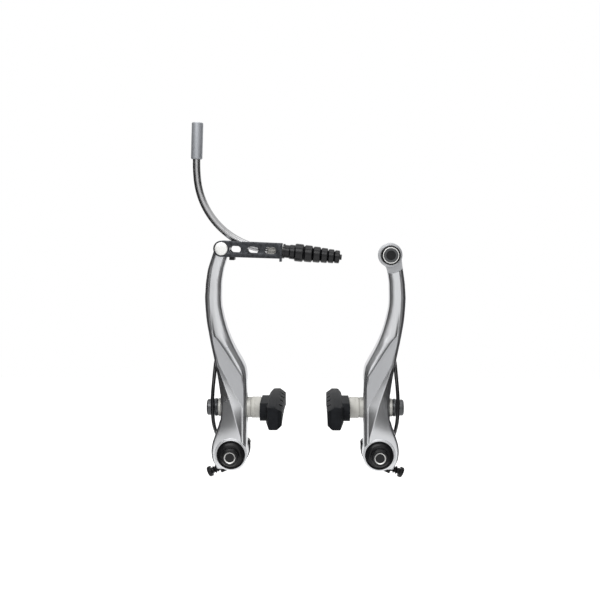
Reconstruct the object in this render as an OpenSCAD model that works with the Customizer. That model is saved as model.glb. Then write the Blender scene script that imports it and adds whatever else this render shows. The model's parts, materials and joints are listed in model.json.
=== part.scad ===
// Linear-pull rim brake: two arms that pivot on the frame bosses and carry the
// brake shoes, joined at the top by a cable noodle, a stirrup link and an anchor bolt.
// X runs across the wheel, Y points back to the frame, Z points up.
// The origin lies midway between the two pivot axes, at the shoulder of the bosses.
// Each arm is drawn in a frame of its own: the pivot axis at zero, X outwards, and
// "depth" counted forwards from the boss shoulder.

/* [Frame bosses] */
// Distance between the two boss axes
boss_spacing = 80; // [78:1:92]
// Diameter of the boss that a pivot sleeve slides on
boss_d = 8; // [7.6:0.1:8.2]
// Length of the boss
boss_len = 16; // [15:0.5:16.5]

/* [Arms] */
// Height of the cable anchor above its pivot
anchor_rise = 107.6; // [103:0.5:112]
// Outward offset of the cable anchor from its pivot
anchor_out = 5.4; // [4.5:0.1:7]
// Outward bow of the shaft's middle line
shaft_bow = 9.6; // [8.5:0.1:11]
// Width of the shaft
shaft_w = 8.8; // [8:0.1:10]
// Distance from the pivot axis to the arm's flat inner face
inner_face = 8.3; // [8:0.1:9]
// Distance from the pivot axis to the outer seat of the shoe bolt
outer_face = 5.8; // [5.4:0.1:6.2]
// Radius of the hub round the pivot
hub_r = 8.8; // [8.6:0.1:9.6]
// Depth of the arm's rear face
arm_back = 7; // [6.8:0.1:7.4]
// Depth of the flat panel on the arm's front
panel_front = 18.2; // [17.8:0.1:18.8]
// Depth of the hub's front face
hub_front = 20.9; // [20.7:0.1:21.2]
// Depth of the plane that the cable runs in
cable_depth = 14; // [13.5:0.1:14.5]

/* [Pivots] */
// Outer diameter of the pivot sleeve
sleeve_d = 10.6; // [10:0.1:11]
// Diameter of the fixing bolt's thread
bolt_d = 6; // [5.8:0.1:6]
// Diameter of the flange under the fixing bolt's head
bolt_flange_d = 13.4; // [12.6:0.1:14]
// Diameter of the fixing bolt's head
bolt_head_d = 9.2; // [8.8:0.1:10]
// Height of the fixing bolt's head above its flange
bolt_head_h = 5.8; // [5:0.1:7]
// Width across flats of the hexagon sockets
socket_af = 5; // [4:0.5:5]
// Outer diameter of the dust ring in the hub's front
dust_ring_d = 15; // [14.4:0.1:15.4]
// Radius of the black spring housing behind the hub
housing_r = 9.3; // [9.2:0.1:9.6]

/* [Return springs] */
// Diameter of the spring wire
wire_d = 2; // [1.6:0.1:2.1]
// Turns in the spring's coil
coil_turns = 1.15; // [1.1:0.05:1.2]
// Radius of the coil's wire centre
coil_r = 7; // [6.9:0.05:7.1]
// Slope of the tension screw below the horizontal
screw_slope = 24; // [15:1:32]
// Diameter of the tension screw's head
screw_head_d = 5.9; // [5.2:0.1:6.4]

/* [Brake shoes] */
// Height of the shoe bolt above its pivot
shoe_rise = 24.4; // [23.5:0.1:25.5]
// Depth of the shoe bolt's axis
stud_depth = 12.2; // [12:0.1:12.4]
// Travel of the shoe up and down from the middle of its slot
shoe_travel = 5; // [4:0.5:5.5]
// Distance from the pivot axis to the braking face
face_reach = 28.1; // [26:0.1:30]
// Distance from the pivot axis to the shoe's back
back_reach = 16.1; // [15:0.1:17]
// Length of the brake pad
pad_len = 70; // [55:1:72]
// How far the pad's middle lies behind the shoe bolt
pad_shift = 9; // [0:0.5:10]
// Height of the brake pad
pad_h = 11.6; // [10:0.1:13]
// Radius of the rim that the pad follows
rim_r = 300; // [250:10:320]
// Diameter of the spacer between pad and arm
spacer_d = 11.6; // [11:0.1:12]
// Distance from the pivot axis to the outer end of the shoe nut
nut_reach = 13.5; // [13.2:0.1:14.5]

/* [Link and noodle] */
// Height of the link pin above its pivot
link_rise = 111; // [108:0.5:114]
// Outward offset of the link pin from its pivot
link_out = 4.6; // [4:0.1:6]
// Distance from the link pin to the inside of the link's end
link_len = 31.1; // [28:0.1:36]
// Height of the link at its pin
link_h = 8.6; // [8.2:0.1:9.4]
// Outer width of the link
link_w = 11.1; // [11:0.1:12]
// Thickness of the link's sheet
link_t = 1.2; // [0.8:0.1:1.3]
// Slope of the link below the horizontal
link_droop = 2.2; // [0:0.1:4]
// Slope of the noodle's nose below the horizontal
nose_droop = 6; // [4:0.1:7]
// Outer diameter of the noodle's pipe
pipe_d = 4.1; // [3.6:0.1:4.4]
// Outer diameter of the housing ferrule
ferrule_d = 6.1; // [6:0.1:6.6]
// Length of the housing ferrule
ferrule_len = 19.3; // [16:0.1:22]
// Diameter of the cable housing that the ferrule takes
cable_housing_d = 5; // [4.8:0.1:5.1]
// Number of bellows ribs on the boot
boot_ribs = 6; // [4:1:7]
// Diameter of the boot's largest rib
boot_d = 9.6; // [8.6:0.1:10.4]
// Diameter of the boot's smallest rib
boot_end_d = 7; // [6.4:0.1:7.6]

/* [Hidden] */
$fn = 64;
run_gap = 0.05;                // radial clearance of what turns on a shaft
seat_gap = 0.02;               // clearance of what is fixed in a seat
body_gap = 0.3;                // clearance of what passes by on another body
hull_fn = 32;
sleeve_r = sleeve_d / 2;
bolt_r = bolt_d / 2;
shoulder_r = bolt_r + 0.25;    // plain shoulder of the fixing bolt
ring_r = dust_ring_d / 2;
ring_t = 1.3;
rim_lip = 0.6;                 // how far the hub's rim stands in front of the hub
sleeve_front = hub_front + body_gap;
flange_t = 1.2;
bolt_reach = 17.5;             // length of the fixing bolt under its flange
socket_r = socket_af / 2 / cos(30);
sleeve_flange_t = 1;
wall_t = 1;                    // wall of the spring housing
housing_front = arm_back - body_gap;
wire_r = wire_d / 2;
coil_pitch = wire_d + 0.1;
coil_back = sleeve_flange_t + wall_t + body_gap + wire_r;
coil_front = coil_back + coil_turns * coil_pitch;
stud_r = 3;
slot_r = stud_r + 0.2;
cup_r = spacer_d / 2 - 0.2;
outer_washer_r = 4.9;
ball_in = 9;                   // spherical seat between the inner washers
ball_out = 8;                  // spherical seat between the outer washers
cup_t = 2.1;
outer_cup_t = 1.5;
outer_dome_t = 2.1;
flat_washer_t = 0.8;
flat_washer_r = 4.6;
nut_r = 4.4;
nut_socket = 2.4;              // depth of the nut's hexagon socket
nut_socket_r = 3.6;
stud_end = nut_reach - nut_socket - 0.2;
plate_t = 1.6;                 // steel plate moulded into the pad
plate_len = 34;
plate_h = 7;
pad_back = back_reach + 3.5;   // where the pad's long back lies
pin_r = 2;
link_in = link_w / 2 - link_t; // half of the room between the link's plates
head_half = link_in - 0.35;    // half thickness of the left arm's head
nose_r = 3;
nose_len = 6.5;
nose_tip_r = 2.2;
pipe_r = pipe_d / 2;
liner_r = pipe_r - 0.65;
cable_r = 0.9;                 // room for the inner cable
ferrule_r = ferrule_d / 2;
boss_r = 6.1;                  // boss that the cable anchor is screwed into
head_r = 4.2;                  // head of the left arm, round the link pin
anchor_front = cable_depth + 1;
stop_reach = 3.28;             // where the link's stop meets the neck, from the pin
anchor_plate_t = 1.6;
anchor_plate_r = 6.5;
anchor_head_r = 5.2;
anchor_head_h = 5.4;
spot_r = 9.8;
leg_room = 15.2;               // depth down to which the spring's leg has room
leg_top = 0.515 * anchor_rise; // height where the spring's leg enters the arm

silver = [0.76, 0.77, 0.78];
steel = [0.55, 0.56, 0.58];
dark_steel = [0.28, 0.29, 0.31];
black = [0.08, 0.08, 0.09];
rubber = [0.12, 0.13, 0.14];
cream = [0.86, 0.85, 0.8];

// The right arm's frame, and the left one as its mirror image
module on_right() {
    translate([boss_spacing / 2, 0, 0]) children();
}
module on_left() {
    mirror([1, 0, 0]) on_right() children();
}

// Round bar along the depth, from one depth to another
module rod(r, from, to) {
    translate([0, -from, 0]) rotate([90, 0, 0]) cylinder(r = r, h = to - from);
}
// Turned piece: points are [depth, radius]
module turned(points) {
    rotate([90, 0, 0]) rotate_extrude() polygon([for (p = points) [p[1], p[0]]]);
}
// Turned piece along X: points are [x, radius]
module turned_x(points) {
    rotate([0, 90, 0]) rotate_extrude() polygon([for (p = points) [p[1], p[0]]]);
}
// Quarter of a circle as points, from angle a0 to a1
function arc(cx, cy, r, a0, a1, n = 6) =
    [for (i = [0:n]) let (a = a0 + (a1 - a0) * i / n) [cx + r * cos(a), cy + r * sin(a)]];

// ARM
// Edges of the front view as [share of the anchor's rise, outward position]
shaft_rows = [
    [0.563, shaft_bow - 4.4, shaft_w / 2 + 1.5],
    [0.604, shaft_bow - 3.1, shaft_w / 2 + 1],
    [0.644, shaft_bow - 2, shaft_w / 2 + 0.7],
    [0.685, shaft_bow - 1.1, shaft_w / 2 + 0.4],
    [0.744, shaft_bow - 0.2, shaft_w / 2],
    [0.785, shaft_bow, shaft_w / 2],
    [0.865, shaft_bow - 0.4, shaft_w / 2 - 0.2],
    [0.93, shaft_bow - 1.5, shaft_w / 2 - 0.2]];
outer_edge = concat([
    [-0.075, hub_r - 1], [-0.03, hub_r + 1.5], [0.015, hub_r + 2], [0.055, hub_r + 1.4],
    [0.095, hub_r], [0.136, outer_face + 1.4], [0.178, outer_face + 0.3], [0.24, outer_face],
    [0.3, outer_face + 0.3], [0.4, outer_face + 1.8], [0.482, outer_face + 3.5]],
    [for (r = shaft_rows) [r[0], r[1] + r[2]]]);
inner_edge = concat([
    [-0.075, -inner_face + 3.6], [-0.05, -inner_face + 1.9], [-0.025, -inner_face + 0.9],
    [0.02, -inner_face], [0.4, -inner_face], [0.442, -inner_face + 0.7],
    [0.482, -inner_face + 3], [0.523, -inner_face + 5.5]],
    [for (r = shaft_rows) [r[0], r[1] - r[2]]]);
// Lines drawn on the arm's front: the ridge, the panel's lower edge and the crease
ridge_line = [[0, -6], [0.076, -5.7], [0.125, -4], [0.25, -0.2], [0.475, 8.1], [0.6, 13]];
panel_line = [[0, -7], [0.23, -6.5], [0.478, 8], [0.6, 14]];
crease_line = [[0.3, -7.5], [0.383, -6.2], [0.528, 3.5], [0.578, 7.2], [0.62, 11.6], [0.66, 14]];
// Depths along the arm: [share, rear, outer bevel, ridge, panel, shaft side of the crease,
// crown, inner strip, inner edge]
front = panel_front;
hub = hub_front;
rear = arm_back;
depth_rows = [
    [-0.075, rear, hub - 2.4, hub - 0.5, hub - 0.4, hub - 0.4, hub - 0.4, hub - 0.8, hub - 2.6],
    [0.02, rear, hub - 1.3, hub - 0.1, hub - 0.1, hub - 0.1, hub - 0.1, hub - 0.5, hub - 2.4],
    [0.06, rear, hub - 1.5, hub, hub - 0.3, hub - 0.4, hub - 0.5, hub - 1, hub - 2.8],
    [0.1, rear, hub - 2.6, hub - 0.1, hub - 0.9, hub - 1.1, hub - 1.3, hub - 2, front - 1.2],
    [0.14, rear, front - 0.9, hub - 0.3, front + 1, front + 0.7, front + 0.4, front - 0.4, front - 1.6],
    [0.2, rear, front - 1.4, front + 2, front + 0.2, front - 0.1, front - 0.4, front - 1, front - 1.8],
    [0.25, rear, front - 1.5, front + 1.7, front, front - 0.2, front - 0.3, front - 0.8, front - 1.7],
    [0.33, rear, front - 1.5, front + 1.3, front, front - 0.1, front, front - 0.3, front - 1.5],
    [0.4, rear, front - 1.4, front + 1, front, front + 0.6, front + 0.8, front + 0.2, front - 1.4],
    [0.48, rear + 0.4, front - 1.2, front + 0.4, front, front + 1, front + 1.4, front + 0.4, front - 1.2],
    [0.56, rear + 1.1, front - 1.2, front + 0.1, front, front + 1, front + 1.4, front + 0.2, front - 1.2],
    [0.64, rear + 1.8, front - 1.4, front - 0.2, front, front + 0.4, front + 1, front - 0.2, front - 1.4],
    [0.744, rear + 2.2, front - 1.6, front - 0.4, front - 0.1, front, front + 0.6, front - 0.5, front - 1.7],
    [0.865, rear + 2.5, front - 1.9, front - 0.7, front - 0.4, front - 0.3, front + 0.1, front - 0.8, front - 1.9],
    [0.93, rear + 2.8, front - 2.1, front - 1, front - 0.7, front - 0.6, front - 0.3, front - 1.1, front - 2.1],
    [1.03, rear + 3.1, front - 2.1, front - 0.7, front - 0.4, front - 0.3, front - 0.3, front - 0.7, front - 1.6]];
corner = 1.2;                  // chamfer along the rear corners
loft_from = -0.075;
loft_steps = 52;
// Width of the bevel along the outer front edge, by share, and its steepness
bevel_rows = [[-0.075, 0.6], [0.06, 0.7], [0.12, 1.2], [0.34, 1.3], [0.45, 1.1], [0.54, 1.2],
    [0.64, 1.9], [0.75, 2.3], [0.9, 2], [1.03, 1.2]];
bevel_rise = 1.15;

// Value of a table at a share of the height, eased over the neighbouring heights
function eased(s, table) =
    (lookup(s - 0.015, table) + 2 * lookup(s, table) + lookup(s + 0.015, table)) / 4;
function depth_at(s, column) = eased(s, [for (r = depth_rows) [r[0], r[column]]]);

// One level ring of the arm as [outward, -depth, height] points; the edges run on into a
// head given as [outward, height, half width]
function arm_ring(s, head) =
    let (
        end = head[1] / anchor_rise,
        z = s * anchor_rise,
        xo = eased(s, concat(outer_edge, [[end, head[0] + head[2]]])),
        xi = eased(s, concat(inner_edge, [[end, head[0] - head[2]]])),
        bevel = eased(s, bevel_rows),
        xs = xi + 1.5,
        xr = max(min(eased(s, ridge_line), xo - bevel - 0.5), xs + 1.4),
        xp = max(min(eased(s, panel_line), xr - 0.5), xs + 1),
        xc = max(min(eased(s, crease_line), xp - 0.4), xs + 0.85),
        xq = xc - 0.6,
        rear_d = depth_at(s, 1),
        ridge_d = depth_at(s, 3),
        bevel_d = depth_at(s, 2) + 0.3 + 0.2 * (ridge_d - depth_at(s, 2)),
        flat = [
            [xo - corner, rear_d], [xo, rear_d + corner],
            [xo, bevel_d - bevel_rise * bevel], [xo - 0.3 * bevel, bevel_d - 0.5 * bevel_rise * bevel],
            [xo - bevel, bevel_d],
            [xr, ridge_d], [xp, depth_at(s, 4)], [xc, depth_at(s, 4) + 0.05],
            [xq, depth_at(s, 5)], [(xq + xs) / 2, depth_at(s, 6)],
            [xs, depth_at(s, 7)], [xi + 0.5, depth_at(s, 7) - 0.6], [xi, depth_at(s, 8)],
            [xi, rear_d + corner], [xi + corner, rear_d]])
    [for (q = flat) [q[0], -q[1], z]];

// Skin through a list of rings with flat ends
module skin(rings) {
    n = len(rings[0]);
    m = len(rings);
    walls = [for (i = [0:m - 2], j = [0:n - 1]) each [
        [i * n + j, i * n + (j + 1) % n, (i + 1) * n + (j + 1) % n],
        [i * n + j, (i + 1) * n + (j + 1) % n, (i + 1) * n + j]]];
    foot = [[for (j = [n - 1:-1:0]) j]];
    top = [[for (j = [0:n - 1]) (m - 1) * n + j]];
    polyhedron([for (r = rings) each r], concat(walls, foot, top), convexity = 6);
}

// Slot-shaped cutter along X, from x0 to x1, for the shoe bolt
module shoe_slot(r, x0, x1) {
    translate([x0, -stud_depth, shoe_rise]) rotate([0, 90, 0]) {
        for (side = [-1, 1]) translate([side * shoe_travel, 0, 0]) cylinder(r = r, h = x1 - x0);
        translate([-shoe_travel, -r, 0]) cube([2 * shoe_travel, 2 * r, x1 - x0]);
    }
}

// What both arms share: shaft, faceted foot and hub
module arm_body(head) {
    loft = head[1] / anchor_rise - loft_from;
    skin([for (i = [0:loft_steps]) arm_ring(loft_from + loft * i / loft_steps, head)]);
    rod(hub_r, arm_back, hub_front);
    rod(ring_r + 0.75, hub_front - 1, hub_front + rim_lip);
}
module arm_cuts() {
    rod(sleeve_r + run_gap, 0, 30);
    rod(ring_r + 0.1, sleeve_front - ring_t - 0.1, 30);
    shoe_slot(slot_r, -20, 20);
    shoe_slot(outer_washer_r + body_gap, outer_face, 20);
    // room for the spring's leg beside the hub, and its pocket higher up
    translate([coil_r + 0.05, -leg_room, -hub_r - 3]) cube([10, leg_room - arm_back + 0.1, hub_r + 17]);
    translate([outer_face + 0.3, -leg_room - 1, 0.4 * anchor_rise])
        cube([10, leg_room + 1, 0.145 * anchor_rise]);
    translate([outer_face - 1.6, -stud_depth, leg_top]) rotate([0, 90, 0])
        cylinder(r = wire_r + 0.2, h = 10);
}
module left_arm() {
    half = cable_depth - head_half;
    color(silver) on_left() difference() {
        union() {
            arm_body([link_out, link_rise, head_r - 0.15]);
            translate([link_out, 0, link_rise])
                rod(head_r, half, cable_depth + head_half);
        }
        arm_cuts();
        translate([link_out, 0, link_rise]) {
            rod(pin_r + run_gap, 0, 30);
            // the link's plates run beside the head
            for (side = [[0, half], [cable_depth + head_half, 30]]) rod(10, side[0], side[1]);
        }
    }
}
module right_arm() {
    color(silver) on_right() difference() {
        union() {
            arm_body([anchor_out, anchor_rise, boss_r - 0.15]);
            translate([anchor_out, 0, anchor_rise]) rod(boss_r, arm_back + 2.4, anchor_front);
        }
        arm_cuts();
        translate([anchor_out, 0, anchor_rise]) {
            rod(spot_r, anchor_front, 30);
            rod(bolt_r + seat_gap, 0, 30);
        }
    }
}

// PIVOT
module pivot_sleeve() {
    boss_room = boss_len + 0.8;
    flange_r = sleeve_r + 1.3;
    bore_r = boss_d / 2 + 0.05;
    color(steel) turned([
        [0, bore_r], [0, flange_r], [sleeve_flange_t, flange_r], [sleeve_flange_t, sleeve_r],
        [sleeve_front, sleeve_r], [sleeve_front, shoulder_r + 0.1], [boss_room, shoulder_r + 0.1],
        [boss_room, bore_r]]);
}
module fixing_bolt() {
    under = sleeve_front;
    tip = under - bolt_reach;
    shoulder = boss_len + 0.6;
    head = under + flange_t;
    top = head + bolt_head_h;
    head_r = bolt_head_d / 2;
    color(black) difference() {
        turned(concat(
            [[tip, 0], [tip, bolt_r - 0.5], [tip + 0.5, bolt_r], [shoulder, bolt_r],
            [shoulder, shoulder_r], [under, shoulder_r]],
            [[under, bolt_flange_d / 2], [head - 0.4, bolt_flange_d / 2]],
            [[head, bolt_flange_d / 2 - 0.5], [head, head_r]],
            [for (q = arc(0, 0, 0.8, 0, 90, 4)) [top - 0.8 + q[1], head_r - 0.8 + q[0]]],
            [[top, socket_r + 0.45], [top - 0.5, socket_r + 0.15], [top - 0.5, 0]]));
        translate([0, -top + 3.6, 0]) rotate([90, 30, 0]) cylinder(r = socket_r, h = 5, $fn = 6);
    }
}
module dust_ring() {
    back = sleeve_front - ring_t;
    color(black) turned([[back, sleeve_r + run_gap], [back, ring_r], [sleeve_front - 0.3, ring_r],
        [sleeve_front, ring_r - 0.3], [sleeve_front, sleeve_r + run_gap]]);
}

// Direction and place of the tension screw, in the arm's frame
screw_depth = 4;
lug_x = 6.2;
lug_z = -10.6;
module along_screw() {
    translate([lug_x, -screw_depth, lug_z]) rotate([0, screw_slope, 0]) children();
}
module spring_housing() {
    back = sleeve_flange_t;
    pin_angle = 160;           // the stop pin sits on the inner side, a little up
    pin_reach = 8;
    color(black) difference() {
        union() {
            rod(housing_r, back, housing_front);
            // lug of the tension screw
            along_screw() translate([-6.5, -2.6, -2.8]) cube([8.2, 5.2, 5.6]);
            // stop pin for the boss plate's spring hole, on its nub
            rotate([0, -pin_angle, 0]) translate([pin_reach, 0, 0]) {
                rod(1.9, back + 0.3, housing_front - 0.6);
                rod(1.1, -3, back + 0.5);
            }
        }
        rod(sleeve_r + seat_gap, 0, 10);
        difference() {
            rod(housing_r - wall_t, back + wall_t, 10);
            rod(sleeve_r + 0.3, 0, 11);
        }
        // way out for the spring's leg
        translate([4, -10, -1.6]) cube([8, 10 - back - wall_t, 8]);
        along_screw() rotate([0, 90, 0]) translate([0, 0, -4]) cylinder(r = 1.5 + run_gap, h = 12);
    }
}
module tension_screw() {
    head_r = screw_head_d / 2;
    thread_from = 2;
    thread_to = 6.6;
    pitch = 1.5;
    thread_r = 2.4;
    rings = floor((thread_to - thread_from) / pitch);
    color(black) along_screw() difference() {
        turned_x(concat(
            [[-3.4, 0], [-3.4, 1.2], [-3.1, 1.5]],
            [for (i = [0:rings - 1]) each [
                [thread_from + i * pitch, 1.5], [thread_from + i * pitch + 0.35, thread_r],
                [thread_from + i * pitch + 0.75, thread_r], [thread_from + i * pitch + 1.1, 1.5]]],
            [[thread_to, 1.5], [thread_to, head_r]],
            [for (q = arc(0, 0, 0.7, 0, 90, 4)) [thread_to + 1.6 + q[1], head_r - 0.7 + q[0]]],
            [[thread_to + 2.3, 0]]));
        for (turn = [0, 90]) rotate([turn, 0, 0])
            translate([thread_to + 1.2, -0.4, -head_r + 0.7]) cube([2, 0.8, screw_head_d - 1.4]);
    }
}

// RETURN SPRING
// Coil round the sleeve, then a bowed leg that climbs in front of the shoe bolt
function coil_point(i) =
    let (a = -360 * coil_turns + i * 20)
    [coil_r * cos(a), -(coil_back + coil_pitch * i / 18), coil_r * sin(a)];
leg = [
    [coil_r + 0.3, coil_front + 0.05, 2.2], [coil_r + 0.9, coil_front + 0.3, 4.4],
    [coil_r + 1.6, coil_front + 2.4, 7.4], [coil_r + 2.1, 13.1, 11.6], [coil_r + 2.5, 17.9, 16.6],
    [coil_r + 2.8, 19.8, 22.6], [coil_r + 2.9, 19.7, 29], [coil_r + 2.6, 18.2, 36],
    [coil_r + 2.1, 15.7, 43], [coil_r + 1.6, 13.6, 49], [coil_r + 1, 12.6, 52.6],
    [coil_r, 12.3, leg_top - 0.5], [coil_r - 1.6, stud_depth, leg_top],
    [outer_face - 1.4, stud_depth, leg_top]];
leg_points = [for (q = leg) [q[0], -q[1], q[2]]];
// Point between b and c of four, on a Catmull-Rom curve
function between(a, b, c, d, t) =
    0.5 * (2 * b + (c - a) * t + (2 * a - 5 * b + 4 * c - d) * t * t
        + (3 * b - a - 3 * c + d) * t * t * t);
spring_keys = concat([for (i = [0:floor(18 * coil_turns)]) coil_point(i)], leg_points);
coil_count = floor(18 * coil_turns) + 1;
function spring_path() =
    let (k = spring_keys, n = len(k))
    concat([for (i = [0:coil_count - 2]) k[i]],
        [for (i = [coil_count - 1:n - 2], t = [0, 0.5])
            between(k[i - 1], k[i], k[i + 1], k[min(i + 2, n - 1)], t)],
        [k[n - 1]]);
function unit(v) = v / norm(v);
// Ring of a round wire at a point of a path, square to the path
function wire_ring(path, i, r, sides) =
    let (
        n = len(path),
        along = unit(path[min(i + 1, n - 1)] - path[max(i - 1, 0)]),
        u = unit(cross(along, [0, 1, 0])),
        v = cross(u, along))
    [for (j = [0:sides - 1]) path[i] + r * (cos(360 * j / sides) * u + sin(360 * j / sides) * v)];
module return_spring() {
    color(black) round_skin(spring_path(), wire_r, 12);
}

// BRAKE SHOE
module at_shoe() {
    translate([0, -stud_depth, shoe_rise]) children();
}
// Stands at the shoe bolt's axis and bends round the rim's centre below
module around_rim(half) {
    translate([0, 0, -rim_r]) rotate([0, 90, 0]) rotate([0, 0, 180 - half])
        rotate_extrude(angle = 2 * half, $fn = 720) children();
}
module brake_pad() {
    half = asin((pad_len / 2 + pad_shift) / rim_r);
    front = pad_shift - pad_len / 2;
    end = pad_shift + pad_len / 2;
    low = rim_r - pad_h / 2;
    high = rim_r + pad_h / 2;
    seat_r = 4.8;
    seat_front = -12.5;
    seat_rear = 9.4;
    color(rubber) at_shoe() difference() {
        union() {
            intersection() {
                around_rim(half + 1) polygon([
                    [low + 2.2, -pad_back], [high - 1.6, -pad_back], [high, -pad_back - 1.4],
                    [high, -face_reach + 3.4], [high - 2.4, -face_reach], [low + 1.8, -face_reach],
                    [low, -face_reach + 2.6], [low, -pad_back - 2.1]]);
                // plan of the pad: the back tapers to the ends
                translate([0, 0, -20]) linear_extrude(40) polygon([
                    [-face_reach, front + 2], [-face_reach + 2, front],
                    [-pad_back - 1.6, front], [-pad_back, front + 7],
                    [-pad_back, end - 12], [-pad_back - 2.4, end],
                    [-face_reach + 2, end], [-face_reach, end - 2]]);
            }
            // raised seat that the spacer bears on
            translate([-pad_back - 1, 0, 0]) rotate([0, 90, 0]) linear_extrude(pad_back + 1 - back_reach)
                union() {
                    for (at = [seat_front, seat_rear]) translate([0, at]) circle(r = seat_r);
                    translate([-seat_r, seat_front]) square([2 * seat_r, seat_rear - seat_front]);
                }
        }
        translate([-pad_back - plate_t - seat_gap, -plate_len / 2 - seat_gap, -plate_h / 2 - seat_gap])
            cube([plate_t + 2 * seat_gap, plate_len + 2 * seat_gap, plate_h + 2 * seat_gap]);
        rotate([0, 90, 0]) translate([0, 0, -pad_back - 1]) cylinder(r = stud_r + seat_gap, h = 8);
        // slanting water grooves in the braking face
        for (i = [-1:3]) translate([-face_reach, i * pad_len / 6, 0]) rotate([32, 0, 0])
            translate([-1, -0.9, -10]) cube([2.8, 1.8, 20]);
    }
}
module shoe_stud() {
    color(steel) at_shoe() {
        turned_x([[-pad_back - 0.5, 0], [-pad_back - 0.5, stud_r], [stud_end - 0.5, stud_r],
            [stud_end, stud_r - 0.5], [stud_end, 0]]);
        translate([-pad_back - plate_t, -plate_len / 2, -plate_h / 2])
            cube([plate_t, plate_len, plate_h]);
    }
}
// Spherical seat between a cup and a dome: how far it sinks at a radius
function sag(ball, rim, r) = sqrt(ball * ball - r * r) - sqrt(ball * ball - rim * rim);
// Cup washer from its flat face at x = 0; its hollow looks towards +X
module cup_washer(r, hole, t, ball) {
    rim = r - 0.4;
    turned_x(concat([[0, hole], [0, r - 0.2], [0.2, r], [t - 0.1, r], [t, r - 0.1]],
        [for (i = [0:6]) let (q = rim + (hole - rim) * i / 6) [t - sag(ball, rim, q), q]]));
}
// Dome washer that seats in a cup of thickness t and ends flat at x = end
module dome_washer(r, hole, t, ball, cup, end) {
    rim = cup - 0.4;
    turned_x(concat(
        [for (i = [0:6]) let (q = hole + (rim - hole) * i / 6)
            [t + seat_gap - sag(ball, rim, q), q]],
        [[t + 0.45, r - 0.3], [t + 0.75, r], [end - 0.3, r], [end, r - 0.3], [end, hole]]));
}
module inner_cup_washer() {
    color(steel) at_shoe() translate([-inner_face, 0, 0]) mirror([1, 0, 0])
        cup_washer(cup_r, stud_r + 0.6, cup_t, ball_in);
}
module spacer_washer() {
    color(cream) at_shoe() translate([-inner_face, 0, 0]) mirror([1, 0, 0])
        dome_washer(spacer_d / 2, stud_r + 0.1, cup_t, ball_in, cup_r, back_reach - inner_face);
}
module outer_cup_washer() {
    color(steel) at_shoe() translate([outer_face, 0, 0])
        cup_washer(outer_washer_r, stud_r + 0.5, outer_cup_t, ball_out);
}
outer_stack = outer_cup_t + outer_dome_t;
module outer_dome_washer() {
    color(dark_steel) at_shoe() translate([outer_face, 0, 0])
        dome_washer(outer_washer_r, stud_r + 0.1, outer_cup_t, ball_out, outer_washer_r, outer_stack);
}
module flat_washer() {
    color(steel) at_shoe() translate([outer_face + outer_stack, 0, 0])
        turned_x([[0, stud_r + 0.1], [0, flat_washer_r], [flat_washer_t, flat_washer_r],
            [flat_washer_t, stud_r + 0.1]]);
}
module shoe_nut() {
    from = outer_face + outer_stack + flat_washer_t;
    color(dark_steel) at_shoe() difference() {
        turned_x(concat([[from, stud_r + seat_gap], [from, nut_r]],
            [for (q = arc(0, 0, 0.6, 0, 90, 4)) [nut_reach - 0.6 + q[1], nut_r - 0.6 + q[0]]],
            [[nut_reach, stud_r + seat_gap]]));
        translate([nut_reach - nut_socket, 0, 0]) rotate([0, 90, 0])
            cylinder(r = nut_socket_r, h = nut_socket + 1, $fn = 6);
    }
}

// LINK AND NOODLE
// Frame of the link: the pin at zero, X towards the link's end
module at_link() {
    translate([-boss_spacing / 2 - link_out, -cable_depth, link_rise])
        rotate([0, link_droop, 0]) children();
}
// Frame of the nose: zero at the inside of the link's end, X along the cable
module at_nose() {
    at_link() translate([link_len, 0, 0]) rotate([0, nose_droop - link_droop, 0]) children();
}
module cable_link() {
    end_r = link_h / 2;
    tip_h = link_h / 2 - 0.2;
    full = link_len + link_t;
    windows = 3;
    window_r = 1.75;
    window_half = 1.25;
    color(dark_steel) at_link() difference() {
        union() {
            for (side = [-1, 1]) translate([0, side * (link_w - link_t) / 2, 0]) rotate([90, 0, 0])
                linear_extrude(link_t, center = true) union() {
                    circle(r = end_r);
                    polygon([[0, end_r], [full - 1, tip_h], [full, tip_h - 1],
                        [full, -tip_h + 0.6], [full - 0.6, -tip_h], [0, -end_r]]);
                }
            translate([link_len, -link_w / 2, -tip_h - 1.6]) cube([link_t, link_w, 2 * tip_h + 1.6]);
        }
        for (i = [0:windows - 1])
            translate([end_r + 3.1 + i * (link_len - end_r - 8) / (windows - 1), 0, 0])
                rotate([90, 0, 0]) linear_extrude(2 * link_w, center = true) {
                    for (s = [-1, 1]) translate([s * window_half, 0]) circle(r = window_r);
                    square([2 * window_half, 2 * window_r], center = true);
                }
        rotate([90, 0, 0]) cylinder(r = pin_r + seat_gap, h = 30, center = true);
        // keyhole that the noodle's nose hooks into
        translate([link_len - 5, 0, 0]) rotate([0, 90, 0]) cylinder(r = nose_tip_r + 0.3, h = 10);
        translate([link_len - 5, -1, 0]) cube([10, 2, 10]);
    }
}
module link_pin() {
    front = link_w / 2;
    cap_r = 3.5;
    color(silver) at_link() rotate([90, 0, 0]) rotate_extrude() polygon(concat(
        [[0, -front - 1.6], [pin_r - 0.3, -front - 1.6], [pin_r, -front - 1.3], [pin_r, front],
        [cap_r, front]],
        [for (i = [0:5]) [cap_r * cos(18 * i), front + 0.5 + 0.6 * sin(18 * i)]]));
}
module link_pin_ring() {
    color(steel) at_link() translate([0, link_w / 2, 0]) rotate([-90, 0, 0]) difference() {
        cylinder(r = 3.3, h = 0.9);
        translate([0, 0, -1]) cylinder(r = pin_r + seat_gap, h = 3);
    }
}
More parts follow.
